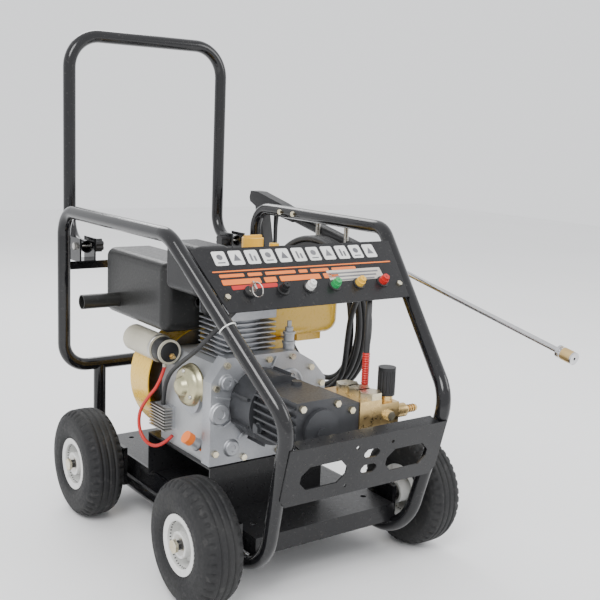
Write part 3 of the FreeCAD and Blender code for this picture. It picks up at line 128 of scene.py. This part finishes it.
# a mesh from a grid of points, closed round either way where asked
def gridMesh(name, points, roundU=False, roundV=False, smooth=True):
    rows, columns = points.shape[:2]
    index = np.arange(rows * columns).reshape(rows, columns)
    across = np.concatenate([index, index[:1]]) if roundU else index
    both = np.concatenate([across, across[:, :1]], axis=1) if roundV else across
    faces = np.stack([both[:-1, :-1], both[1:, :-1], both[1:, 1:], both[:-1, 1:]], axis=-1).reshape(-1, 4)
    mesh = bpy.data.meshes.new(name)
    mesh.vertices.add(rows * columns)
    mesh.vertices.foreach_set("co", (points * mm).ravel())
    mesh.loops.add(faces.size)
    mesh.loops.foreach_set("vertex_index", faces.ravel())
    mesh.polygons.add(len(faces))
    mesh.polygons.foreach_set("loop_start", np.arange(0, faces.size, 4))
    mesh.update(calc_edges=True)
    mesh.polygons.foreach_set("use_smooth", np.full(len(faces), smooth))
    mesh.validate()
    piece = bpy.data.objects.new(name, mesh)
    bpy.context.scene.collection.objects.link(piece)
    return piece


# the two crossing directions square to an axis
def squareTo(axis):
    axis = np.array(axis, float) / np.linalg.norm(axis)
    helper = np.array([0.0, 0.0, 1.0]) if abs(axis[2]) < 0.9 else np.array([1.0, 0.0, 0.0])
    first = np.cross(helper, axis)
    first /= np.linalg.norm(first)
    return axis, first, np.cross(axis, first)


# a surface of revolution: each (along, radius) pair of the profile is carried round the axis
def turnedPiece(name, profile, start, axis, steps=48, dent=None, smooth=True):
    axis, first, second = squareTo(axis)
    profile = np.array(profile, float)
    angle = np.linspace(0, 2 * np.pi, steps, endpoint=False)
    along = np.repeat(profile[None, :, 0], steps, axis=0)
    radius = np.repeat(profile[None, :, 1], steps, axis=0)
    if dent is not None:
        radius = radius - dent(angle[:, None], along)
    ring = np.cos(angle)[:, None, None] * first + np.sin(angle)[:, None, None] * second
    points = np.array(start, float) + along[..., None] * axis + radius[..., None] * ring
    return gridMesh(name, points, roundU=True, smooth=smooth)


# procedural surface: two noise fields mix two colours, spread the roughness and raise a fine bump
def surface(name, colour, other=None, rough=(0.3, 0.5), metal=0.0, grain=60.0, mottle=6.0, bump=0.05,
            coat=0.0, stretch=(1, 1, 1), wear=None, shine=0.5):
    material = bpy.data.materials.new(name)
    material.use_nodes = True
    nodes, links = material.node_tree.nodes, material.node_tree.links
    shader = nodes["Principled BSDF"]
    shader.inputs["Metallic"].default_value = metal
    shader.inputs["Coat Weight"].default_value = coat
    shader.inputs["Specular IOR Level"].default_value = shine
    shader.inputs["Coat Roughness"].default_value = 0.12
    place = nodes.new("ShaderNodeTexCoord")
    mapping = nodes.new("ShaderNodeMapping")
    mapping.inputs["Scale"].default_value = stretch
    links.new(place.outputs["Object"], mapping.inputs["Vector"])
    fine = nodes.new("ShaderNodeTexNoise")
    fine.inputs["Scale"].default_value = grain
    fine.inputs["Detail"].default_value = 6
    broad = nodes.new("ShaderNodeTexNoise")
    broad.inputs["Scale"].default_value = mottle
    broad.inputs["Detail"].default_value = 4
    for noise in (fine, broad):
        links.new(mapping.outputs["Vector"], noise.inputs["Vector"])
    mix = nodes.new("ShaderNodeMix")
    mix.data_type = "RGBA"
    mix.inputs["A"].default_value = (*colour, 1)
    mix.inputs["B"].default_value = (*(other or [c * 0.8 for c in colour]), 1)
    spread = nodes.new("ShaderNodeMapRange")
    spread.inputs["From Min"].default_value = 0.35
    spread.inputs["From Max"].default_value = 0.65
    links.new(broad.outputs["Fac"], spread.inputs["Value"])
    links.new(spread.outputs["Result"], mix.inputs["Factor"])
    tint = mix.outputs["Result"]
    if wear is not None:
        tint = addWear(nodes, links, mapping, tint, wear)
    links.new(tint, shader.inputs["Base Color"])
    gloss = nodes.new("ShaderNodeMapRange")
    gloss.inputs["From Min"].default_value = 0.3
    gloss.inputs["From Max"].default_value = 0.7
    gloss.inputs["To Min"].default_value = rough[0]
    gloss.inputs["To Max"].default_value = rough[1]
    links.new(fine.outputs["Fac"], gloss.inputs["Value"])
    links.new(gloss.outputs["Result"], shader.inputs["Roughness"])
    raised = nodes.new("ShaderNodeBump")
    raised.inputs["Strength"].default_value = bump
    raised.inputs["Distance"].default_value = 0.001
    links.new(fine.outputs["Fac"], raised.inputs["Height"])
    links.new(raised.outputs["Normal"], shader.inputs["Normal"])
    return material


# wear: a third noise, cut hard, lets a dust or bare-metal colour through in specks
def addWear(nodes, links, mapping, tint, wear):
    specks = nodes.new("ShaderNodeTexNoise")
    specks.inputs["Scale"].default_value = wear["scale"]
    specks.inputs["Detail"].default_value = 8
    links.new(mapping.outputs["Vector"], specks.inputs["Vector"])
    edge = nodes.new("ShaderNodeMapRange")
    edge.inputs["From Min"].default_value = wear["level"]
    edge.inputs["From Max"].default_value = wear["level"] + 0.06
    edge.inputs["To Max"].default_value = wear["amount"]
    links.new(specks.outputs["Fac"], edge.inputs["Value"])
    over = nodes.new("ShaderNodeMix")
    over.data_type = "RGBA"
    over.inputs["B"].default_value = (*wear["colour"], 1)
    links.new(tint, over.inputs["A"])
    links.new(edge.outputs["Result"], over.inputs["Factor"])
    return over.outputs["Result"]


dust = {"scale": 160.0, "level": 0.62, "amount": 0.06, "colour": (0.30, 0.29, 0.27)}
finishes = {
    "frameBlack": surface("frameBlack", (0.005, 0.005, 0.006), (0.008, 0.008, 0.009), (0.12, 0.24), 0.0, 90,
                          5, 0.03, coat=0.5, wear=dust, shine=0.2),
    "deckBlack": surface("deckBlack", (0.008, 0.008, 0.009), (0.013, 0.013, 0.014), (0.25, 0.40), 0.0, 120, 7,
                         0.06, coat=0.15, wear=dust, shine=0.25),
    "rimWhite": surface("rimWhite", (0.72, 0.72, 0.70), (0.60, 0.60, 0.58), (0.25, 0.42), 0.0, 80, 10, 0.04,
                        coat=0.3, wear={"scale": 30, "level": 0.62, "amount": 0.4,
                                        "colour": (0.3, 0.28, 0.25)}),
    "tyreBlack": surface("tyreBlack", (0.012, 0.012, 0.013), (0.021, 0.021, 0.021), (0.55, 0.75), 0.0, 180,
                         12, 0.12, shine=0.3, wear={"scale": 60, "level": 0.60, "amount": 0.12,
                                                    "colour": (0.13, 0.125, 0.12)}),
    "zinc": surface("zinc", (0.66, 0.57, 0.36), (0.72, 0.68, 0.56), (0.22, 0.42), 1.0, 90, 30, 0.05),
    "zincPale": surface("zincPale", (0.62, 0.60, 0.56), (0.50, 0.49, 0.46), (0.25, 0.45), 1.0, 90, 30, 0.05),
    "casting": surface("casting", (0.50, 0.51, 0.53), (0.38, 0.39, 0.41), (0.42, 0.62), 0.85, 260, 9, 0.22),
    "castingPainted": surface("castingPainted", (0.46, 0.47, 0.48), (0.38, 0.39, 0.40), (0.38, 0.55), 0.35,
                              240, 8, 0.2),
    "steelDark": surface("steelDark", (0.28, 0.28, 0.29), (0.20, 0.20, 0.21), (0.35, 0.55), 0.9, 150, 12,
                         0.1),
    "yellow": surface("yellow", (0.80, 0.50, 0.045), (0.72, 0.44, 0.04), (0.22, 0.38), 0.0, 130, 5, 0.05,
                      coat=0.35, wear={"scale": 26, "level": 0.64, "amount": 0.35,
                                       "colour": (0.35, 0.25, 0.10)}),
    "mufflerBlack": surface("mufflerBlack", (0.010, 0.010, 0.010), (0.017, 0.017, 0.016), (0.30, 0.46), 0.0,
                            200, 8, 0.08, coat=0.1, wear=dust, shine=0.3),
    "plasticBlack": surface("plasticBlack", (0.010, 0.010, 0.011), (0.017, 0.017, 0.018), (0.34, 0.5), 0.0,
                            320, 9, 0.18, shine=0.35),
    "rubber": surface("rubber", (0.016, 0.016, 0.017), (0.026, 0.026, 0.026), (0.45, 0.62), 0.0, 260, 16,
                      0.12),
    "pumpGrey": surface("pumpGrey", (0.035, 0.036, 0.040), (0.055, 0.057, 0.062), (0.34, 0.5), 0.3, 260, 10,
                        0.2),
    "brass": surface("brass", (0.72, 0.52, 0.24), (0.60, 0.42, 0.19), (0.24, 0.42), 1.0, 120, 18, 0.08),
    "lanceSteel": surface("lanceSteel", (0.66, 0.66, 0.67), (0.55, 0.55, 0.56), (0.16, 0.32), 1.0, 120, 14,
                          0.03, stretch=(8, 1, 8)),
    "cream": surface("cream", (0.55, 0.52, 0.42), (0.46, 0.43, 0.34), (0.35, 0.5), 0.3, 160, 12, 0.08),
    "orange": surface("orange", (0.85, 0.20, 0.02), (0.75, 0.16, 0.02), (0.3, 0.45), 0.0, 200, 14, 0.06),
    "red": surface("red", (0.55, 0.02, 0.015), (0.42, 0.015, 0.012), (0.3, 0.45), 0.0, 200, 14, 0.06),
    "white": surface("white", (0.75, 0.75, 0.73), (0.66, 0.66, 0.64), (0.3, 0.45), 0.0, 200, 14, 0.05),
    "green": surface("green", (0.02, 0.35, 0.10), (0.02, 0.28, 0.08), (0.3, 0.45), 0.0, 200, 14, 0.05),
    "signGrey": surface("signGrey", (0.10, 0.10, 0.11), (0.16, 0.16, 0.17), (0.35, 0.5), 0.0, 200, 14, 0.03),
    "bandPale": surface("bandPale", (0.45, 0.42, 0.38), (0.55, 0.52, 0.46), (0.35, 0.5), 0.0, 200, 14, 0.03),
    "zincOlive": surface("zincOlive", (0.42, 0.40, 0.26), (0.52, 0.47, 0.30), (0.25, 0.42), 0.9, 120, 20,
                         0.05),
    "teal": surface("teal", (0.02, 0.30, 0.32), (0.02, 0.24, 0.26), (0.35, 0.5), 0.0, 200, 14, 0.05),
    "capYellow": surface("capYellow", (0.80, 0.48, 0.05), (0.70, 0.40, 0.04), (0.3, 0.45), 0.0, 200, 14,
                         0.05),
}
print("finishes mixed")


# clears a CAD node's surfaces and gives it one finish
def paint(node, finish):
    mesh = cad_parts[node].data
    mesh.materials.clear()
    mesh.materials.append(finishes[finish])


wheelTags = [end + "_" + hand for end in ("front", "rear") for hand in ("left", "right")]
painted = {
    "frameBlack": ["upper_frame", "left_base_rail", "right_base_rail", "push_handle", "handle_brackets"],
    "deckBlack": ["front_plate", "deck_tray", "control_panel"],
    "rimWhite": ["rim_" + tag for tag in wheelTags],
    "zinc": ["hex_fasteners"], "zincPale": ["hose_hooks", "pivot_bolts", "wheel_bearings", "ignition_key",
                                            "piston"],
    "casting": ["cylinder_head", "engine_covers", "voltage_regulator"], "castingPainted": ["engine_block"],
    "steelDark": ["crankshaft", "flywheel", "pump_shaft", "plunger_1", "plunger_2", "plunger_3"],
    "yellow": ["fuel_tank", "blower_housing"], "mufflerBlack": ["muffler"],
    "plasticBlack": ["air_cleaner", "gun_body", "trigger", "unloader_knob", "lock_knob_left",
                     "lock_knob_right", "ignition_switch", "nozzle_black"],
    "rubber": ["nozzle_seats"], "pumpGrey": ["pump_crankcase", "pump_adapter"],
    "brass": ["manifold", "coupler_collar"], "lanceSteel": ["lance"], "cream": ["starter_motor"],
    "orange": ["oil_plug"], "red": ["nozzle_red"], "white": ["nozzle_white"], "green": ["nozzle_green"],
    "capYellow": ["fuel_cap", "nozzle_yellow"],
}
for finish, names in painted.items():
    for name in names:
        paint(name, finish)
for cord, finish in ((hose, "rubber"), (panelCable, "rubber"), (starterCable, "red")):
    cord.data.materials.append(finishes[finish])
print("frame painted")

# tyres: a rounded section carried round the axle, less grooves round it and notches across its shoulders
tyreSizes = {"section": [(30, 50), (37, 54), (38, 63), (44, 72), (46, 90), (43.5, 110), (36, 123), (24, 129),
                         (0, 130)],
             "grooves": (-15.0, 0.0, 15.0), "grooveWide": 1.6, "grooveDeep": 3.2,
             "notches": 40, "notchDeep": 4.0, "notchFrom": 25.0, "notchTo": 41.0, "notchEase": 3.0,
             "steps": 320}


# tread depth: bell-shaped grooves round the tyre and two rows of notches, half a notch apart
def tyreDent(look):
    def dent(angle, along):
        groove = sum(np.exp(-((along - spot) / look["grooveWide"]) ** 2) for spot in look["grooves"])
        groove = groove * look["grooveDeep"]
        wave = np.sin(look["notches"] * angle + np.where(along > 0, 0, np.pi))
        inner = np.clip((np.abs(along) - look["notchFrom"]) / look["notchEase"], 0, 1)
        outer = np.clip((look["notchTo"] - np.abs(along)) / look["notchEase"], 0, 1)
        notch = look["notchDeep"] * (inner * outer) * np.clip(wave * 3 - 1.2, 0, 1)
        return groove + notch
    return dent


# tyre outline: the half section mirrored, sampled evenly along its length, then smoothed by 1-2-1 means
def tyreSection(look):
    half = np.array(look["section"], float)
    whole = np.vstack([half * (1, 1), (half * (-1, 1))[-2::-1]])
    length = np.concatenate([[0], np.cumsum(np.hypot(*np.diff(whole, axis=0).T))])
    spots = np.linspace(0, length[-1], 150)
    fine = np.column_stack([np.interp(spots, length, whole[:, 0]), np.interp(spots, length, whole[:, 1])])
    for _ in range(6):
        fine[1:-1] = (fine[:-2] + 2 * fine[1:-1] + fine[2:]) / 4
    return fine


for tag in wheelTags:
    low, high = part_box("tyre_" + tag)
    middle = (np.array(low) + np.array(high)) / 2 / mm
    section = tyreSection(tyreSizes)
    tyre = turnedPiece("tyreRubber_" + tag, section, middle, (1, 0, 0), tyreSizes["steps"],
                       tyreDent(tyreSizes))
    tyre.data.materials.append(finishes["tyreBlack"])
    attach(tyre, "wheel_" + tag)
    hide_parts("tyre_" + tag)
print("tyres made")

# bend restrictor: a stack of rounded ribs round the hose
restrictorSizes = {"radius": 8.5, "rib": 1.2, "pitch": 5.3, "low": 402.0, "tall": 80.0,
                   "place": (105.0, -236.0)}
along = np.linspace(0, restrictorSizes["tall"], 180)
ribTurn = 2 * np.pi * along / restrictorSizes["pitch"]
ribbed = restrictorSizes["radius"] - restrictorSizes["rib"] * (0.5 + 0.5 * np.cos(ribTurn))
profile = np.column_stack([np.concatenate([[0], along, [along[-1]]]),
                           np.concatenate([[0.01], ribbed, [0.01]])])
restrictor = turnedPiece("hoseRestrictor", profile, (*restrictorSizes["place"], restrictorSizes["low"]),
                         (0, 0, 1), 32)
restrictor.data.materials.append(finishes["red"])
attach(restrictor, "frame")
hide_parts("bend_restrictor")

# gives a finished piece its surface and its body, and hides any parts it stands in for
def place(piece, body, finish, slot, *stands):
    piece.data.materials.clear()
    piece.data.materials.append(finishes[finish])
    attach(piece, body)
    if stands:
        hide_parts(*stands)
    return piece


# one mesh from several closed outlines: each is carried along a direction by its own depth
def platesMesh(name, outlines, origin, first, second, deep, bevel=0.0):
    origin, first, second = (np.array(v, float) for v in (origin, first, second))
    out = np.cross(first, second)
    points, faces = [], []
    for outline in outlines:
        outline = np.array(outline, float)
        count, base = len(outline), sum(len(p) for p in points)
        flat = origin + outline[:, :1] * first + outline[:, 1:2] * second
        points.append(np.vstack([flat, flat + deep * out]))
        faces.append([base + i for i in range(count)][::-1])
        faces.append([base + count + i for i in range(count)])
        faces += [[base + i, base + (i + 1) % count, base + count + (i + 1) % count, base + count + i]
                  for i in range(count)]
    mesh = bpy.data.meshes.new(name)
    mesh.from_pydata((np.vstack(points) * mm).tolist(), [], faces)
    piece = bpy.data.objects.new(name, mesh)
    bpy.context.scene.collection.objects.link(piece)
    if bevel:
        soften = piece.modifiers.new("soften", "BEVEL")
        soften.width = bevel * mm
        soften.segments = 3
        soften.limit_method = "ANGLE"
    return piece


# a rounded rectangle: quarter circles at the corners joined by straight sides
def roundedOutline(x, y, wide, tall, corner, steps=5):
    quarter = np.linspace(0, np.pi / 2, steps)
    parts = []
    for index, (sx, sy) in enumerate(((1, 1), (-1, 1), (-1, -1), (1, -1))):
        angle = quarter + index * np.pi / 2
        parts.append(np.column_stack([x + sx * (wide / 2 - corner) + corner * np.cos(angle),
                                      y + sy * (tall / 2 - corner) + corner * np.sin(angle)]))
    return np.vstack(parts)


# a closed ring: a small circle carried round a large one
def ringPiece(name, middle, axis, large, small, steps=40, sides=12):
    axis, first, second = squareTo(axis)
    turn = np.linspace(0, 2 * np.pi, steps, endpoint=False)[:, None]
    side = np.linspace(0, 2 * np.pi, sides, endpoint=False)[None, :]
    outward = np.cos(turn)[..., None] * first + np.sin(turn)[..., None] * second
    points = (np.array(middle, float) + (large + small * np.cos(side))[..., None] * outward
              + (small * np.sin(side))[..., None] * axis)
    return gridMesh(name, points, roundU=True, roundV=True)


# control panel: its own frame runs up the front legs; tiles, stripes and bars lie on its face
panelSizes = {"tiles": 11, "firstTile": -203.0, "tilePitch": 39.4, "tileWide": 31.0, "tileTall": 36.0,
              "tileUp": 382.0, "face": 14.0, "stripeUp": 349.0, "stripeWide": 468.0, "stripeTall": 3.0,
              "bandUp": 312.0, "bandAcross": 118.0}
legFoot, legHead = np.array([-204.0, -388.0, 408.0]), np.array([-285.0, -62.0, 729.0])
slope = math.atan2(legHead[2] - legFoot[2], legHead[1] - legFoot[1])
panelUp = np.array([0, math.cos(slope), math.sin(slope)])
panelOut = np.array([0, -math.sin(slope), math.cos(slope)])
panelFoot = np.array([0.0, legFoot[1], legFoot[2]])
panelAcross = np.array([1.0, 0, 0])


# a point on the tilted panel: so far across, up its slope and out from it
def panelPoint(x, up, out):
    return panelFoot + x * panelAcross + up * panelUp + out * panelOut


# flat plates standing on the panel's face
def panelPlates(name, outlines, out=0.0, deep=0.5, bevel=0.0):
    return platesMesh(name, outlines, panelPoint(0, 0, panelSizes["face"] + out), panelAcross, panelUp, deep,
                      bevel)


look = panelSizes
tileX = [look["firstTile"] + index * look["tilePitch"] for index in range(look["tiles"])]
tiles = [roundedOutline(x, look["tileUp"], look["tileWide"], look["tileTall"], 4) for x in tileX]
place(panelPlates("panelTiles", tiles), "frame", "white", "nozzle_white")
signs = []
for index, x in enumerate(tileX):
    if index % 3 == 0:
        signs.append(roundedOutline(x, look["tileUp"] + 3, 14, 14, 6.9, 8))
        signs.append(roundedOutline(x, look["tileUp"] - 11, 18, 3, 1))
    elif index % 3 == 1:
        signs.append([(x - 9, look["tileUp"] - 8), (x + 9, look["tileUp"] - 8), (x, look["tileUp"] + 10)])
    else:
        signs.append(roundedOutline(x - 4, look["tileUp"] - 1, 5, 20, 2))
        signs.append(roundedOutline(x + 5, look["tileUp"] - 4, 5, 14, 2))
place(panelPlates("panelSigns", signs, 0.5, 0.3), "frame", "signGrey", "frame_paint")
stripe = roundedOutline(0, look["stripeUp"], look["stripeWide"], look["stripeTall"], 1)
place(panelPlates("panelStripe", [stripe]), "frame", "orange", "orange_plastic")
bars = []
for row, (up, tall, widths) in enumerate(((338, 8, (58, 34, 76, 22, 48, 66)), (322, 13, (92, 30, 104, 40)))):
    x = -222.0
    for wide in widths:
        bars.append(roundedOutline(x + wide / 2, up, wide, tall, 2))
        x += wide + 9
place(panelPlates("panelBars", bars), "frame", "orange", "orange_plastic")
band = roundedOutline(look["bandAcross"], look["bandUp"] + 8, 150, 30, 2)
place(panelPlates("panelBand", [band]), "frame", "bandPale", "nozzle_white")
marks = [roundedOutline(look["bandAcross"], look["bandUp"] + 14 - 9 * k, 132 - 18 * k, 4,
                        1) for k in range(3)]
place(panelPlates("panelBandMarks", marks, 0.5, 0.3), "frame", "signGrey", "frame_paint")
place(panelPlates("panelShortBand", [roundedOutline(-150, 308, 110, 10, 2)]), "frame", "red", "nozzle_red")
place(ringPiece("keyRing", panelPoint(-168, 282, 40), (1, 0.2, 0.1), 15, 1.2), "ignition_key_body",
      "zincPale", "zinc_steel")
print("panel dressed")

# engine front: bosses, ribs and round covers standing on the gear cover
coverY = -108.0
bosses = {"timingBoss": ((-184, 352), 22, 9), "idlerBoss": ((-2, 414), 15, 7),
          "drainBoss": ((-152, 272), 17, 8), "camBoss": ((28, 292), 18, 8), "oilBoss": ((-168, 418), 16, 9),
          "smallBoss": ((58, 350), 14, 6)}
for name, ((x, z), radius, tall) in bosses.items():
    profile = [(0, radius + 3), (2, radius + 1), (tall - 2, radius), (tall, radius - 2),
               (tall, radius * 0.45), (tall - 2, radius * 0.4), (tall - 2, 0.01)]
    piece = turnedPiece(name, profile, (x, coverY, z), (0, -1, 0), 40, smooth=False)
    place(piece, "frame", "casting", "cast_aluminium")
ribSizes = {"angles": (12, 40, 68, 112, 140, 168, 205, 235, 305, 335), "centre": (-83.0, 366.0), "near": 78.0,
            "far": 104.0, "wave": 14.0, "footHalf": 2.5, "tipHalf": 1.5, "tall": 7.0}
ribs = []
# each rib is a tapered bar from the near radius to the far one, which rises and falls four times a turn
for angle in np.radians(ribSizes["angles"]):
    near, far = ribSizes["near"], ribSizes["far"] + ribSizes["wave"] * math.cos(4 * angle)
    side = np.array([-math.sin(angle), math.cos(angle)])
    along = np.array([math.cos(angle), math.sin(angle)])
    centre, foot, tip = np.array(ribSizes["centre"]), ribSizes["footHalf"] * side, ribSizes["tipHalf"] * side
    ribs.append([centre + near * along - foot, centre + near * along + foot,
                 centre + far * along + tip, centre + far * along - tip][::-1])
place(platesMesh("coverRibs", ribs, (0, coverY + 0.5, 0), (1, 0, 0), (0, 0, 1), ribSizes["tall"], 0.8),
      "frame", "casting", "cast_aluminium")
print("engine dressed")

# dish cover on the engine's left side: a deep stepped dish with three screws
dish = {"foot": (-197.0, -22.0, 396.0), "screwRing": 34.0, "screwOut": 25.0,
        "profile": [(0, 47), (3, 48.5), (6, 48), (7, 46), (16, 45), (23, 41), (26, 35), (26, 24), (29, 21),
                    (38, 19), (41, 15), (42, 8), (42, 0.01)]}
place(turnedPiece("sideDish", dish["profile"], dish["foot"], (-1, 0, 0), 64), "frame", "zincOlive",
      "zinc_steel")
for step in range(3):
    angle = math.radians(90 + 120 * step)
    spot = (dish["foot"][0] - dish["screwOut"], dish["foot"][1] + dish["screwRing"] * math.cos(angle),
            dish["foot"][2] + dish["screwRing"] * math.sin(angle))
    place(turnedPiece("dishScrew_%d" % step, [(0, 5), (3, 4.6), (4, 3), (4, 0.01)], spot, (-1, 0, 0), 16),
          "frame", "zincPale", "zinc_steel")

# starter end: a black cap over the motor's front with a brass terminal and its nut
starterPlace = np.array([-212.0, 62.0, 452.0])
starterProfile = [(0, 0.01), (0, 17), (2, 23), (5, 27.5), (9, 29), (36, 29), (38, 28.2), (38, 0.01)]
starterEnd = turnedPiece("starterEnd", starterProfile, starterPlace - [0, 2, 0], (0, 1, 0), 48)
place(starterEnd, "frame", "plasticBlack", "black_plastic")
terminal = [(0, 7), (4, 7), (4.2, 4), (13, 4), (13.5, 3), (13.5, 0.01)]
place(turnedPiece("starterTerminal", terminal, starterPlace + [4, -1, -9], (0, -1, 0), 6, smooth=False),
      "frame", "brass", "brass")
place(turnedPiece("starterBand", [(0, 31.0), (1, 32), (7, 32), (8, 31.0)], starterPlace + [0, 40, 0],
                  (0, 1, 0), 48),
      "frame", "zincPale", "zinc_steel")

# regulator fins: flat blades stacked up the unit, standing out to the left
fins = {"corner": (-228.0, 54.0, 272.0), "long": 72.0, "thick": 2.6, "pitch": 7.0, "count": 8, "out": 22.0}
blades = [[(0, fins["pitch"] * n), (fins["long"], fins["pitch"] * n),
           (fins["long"], fins["pitch"] * n + fins["thick"]),
           (0, fins["pitch"] * n + fins["thick"])] for n in range(fins["count"])]
place(platesMesh("regulatorFins", blades, fins["corner"], (0, 1, 0), (0, 0, 1), fins["out"], 0.5), "frame",
      "zincPale", "cast_aluminium")

# oil filler: a cast sleeve round the tube, and a pale tie that holds the cable to the left leg
oilWay = np.array([-0.8, 0, 0.6])
place(turnedPiece("oilSleeve", [(0, 0.01), (0, 15), (6, 13), (8, 11.5), (24, 11.5), (25, 10.5), (25, 0.01)],
                  np.array([-200.0, -52, 269.5]), oilWay, 32), "frame", "casting", "cast_aluminium")
tie = {"along": 0.49, "radius": 17.3, "thick": 1.5}
place(ringPiece("cableTie", legFoot + tie["along"] * (legHead - legFoot), legHead - legFoot, tie["radius"],
                tie["thick"]), "frame", "white",
      "nozzle_white")

# injection pump: a stepped column of cast rings on the case's front right corner, and a cast boss on the gear
# cover
pumpColumn = [(0, 0.01), (0, 17), (8, 17), (9, 13), (22, 13), (23, 15), (29, 15), (30, 12), (44, 12),
              (45, 14), (50, 14), (51, 9), (60, 9), (60, 5), (74, 5), (74, 0.01)]
place(turnedPiece("injectionPump", pumpColumn, (8, -82, 458), (0, 0, 1), 36, smooth=False), "frame",
      "casting", "cast_aluminium")
place(turnedPiece("gearBoss", [(0, 34), (5, 33), (6, 27), (4, 26), (4, 17), (7, 16), (7, 0.01)],
                  (-4, coverY, 397), (0, -1, 0), 56), "frame", "casting", "cast_aluminium")
print("small engine parts made")

# floor and lights
studio = {"aim": (0, 0, 0.5), "floor": (0.93, 0.93, 0.93), "world": (0.97, 0.98, 1.0), "worldStrength": 1.35,
          "key": ((-2.6, -2.2, 3.6), 2.2, 150), "fill": ((3.2, -2.4, 2.6), 2.2, 60),
          "back": ((0.6, 3.4, 3.2), 2.2, 70)}
floorMesh = bpy.data.meshes.new("floor")
floorMesh.from_pydata([(-8, -8, 0), (8, -8, 0), (8, 8, 0), (-8, 8, 0)], [], [(0, 1, 2, 3)])
floor = bpy.data.objects.new("floor", floorMesh)
bpy.context.scene.collection.objects.link(floor)
floorMesh.materials.append(surface("floorPale", studio["floor"], (0.91, 0.91, 0.91), (0.6, 0.75), 0.0, 3, 0.8,
                                   0.0))
world = bpy.data.worlds.new("studio")
bpy.context.scene.world = world
world.use_nodes = True
world.node_tree.nodes["Background"].inputs["Color"].default_value = (*studio["world"], 1)
world.node_tree.nodes["Background"].inputs["Strength"].default_value = studio["worldStrength"]
for name in ("key", "fill", "back"):
    spot, wide, power = studio[name]
    data = bpy.data.lights.new(name, "AREA")
    data.shape = "DISK"
    data.size = wide
    data.energy = power
    light = bpy.data.objects.new(name, data)
    bpy.context.scene.collection.objects.link(light)
    light.location = spot
    light.rotation_euler = (Vector(studio["aim"]) - Vector(spot)).to_track_quat("-Z", "Y").to_euler()
print("studio lit")
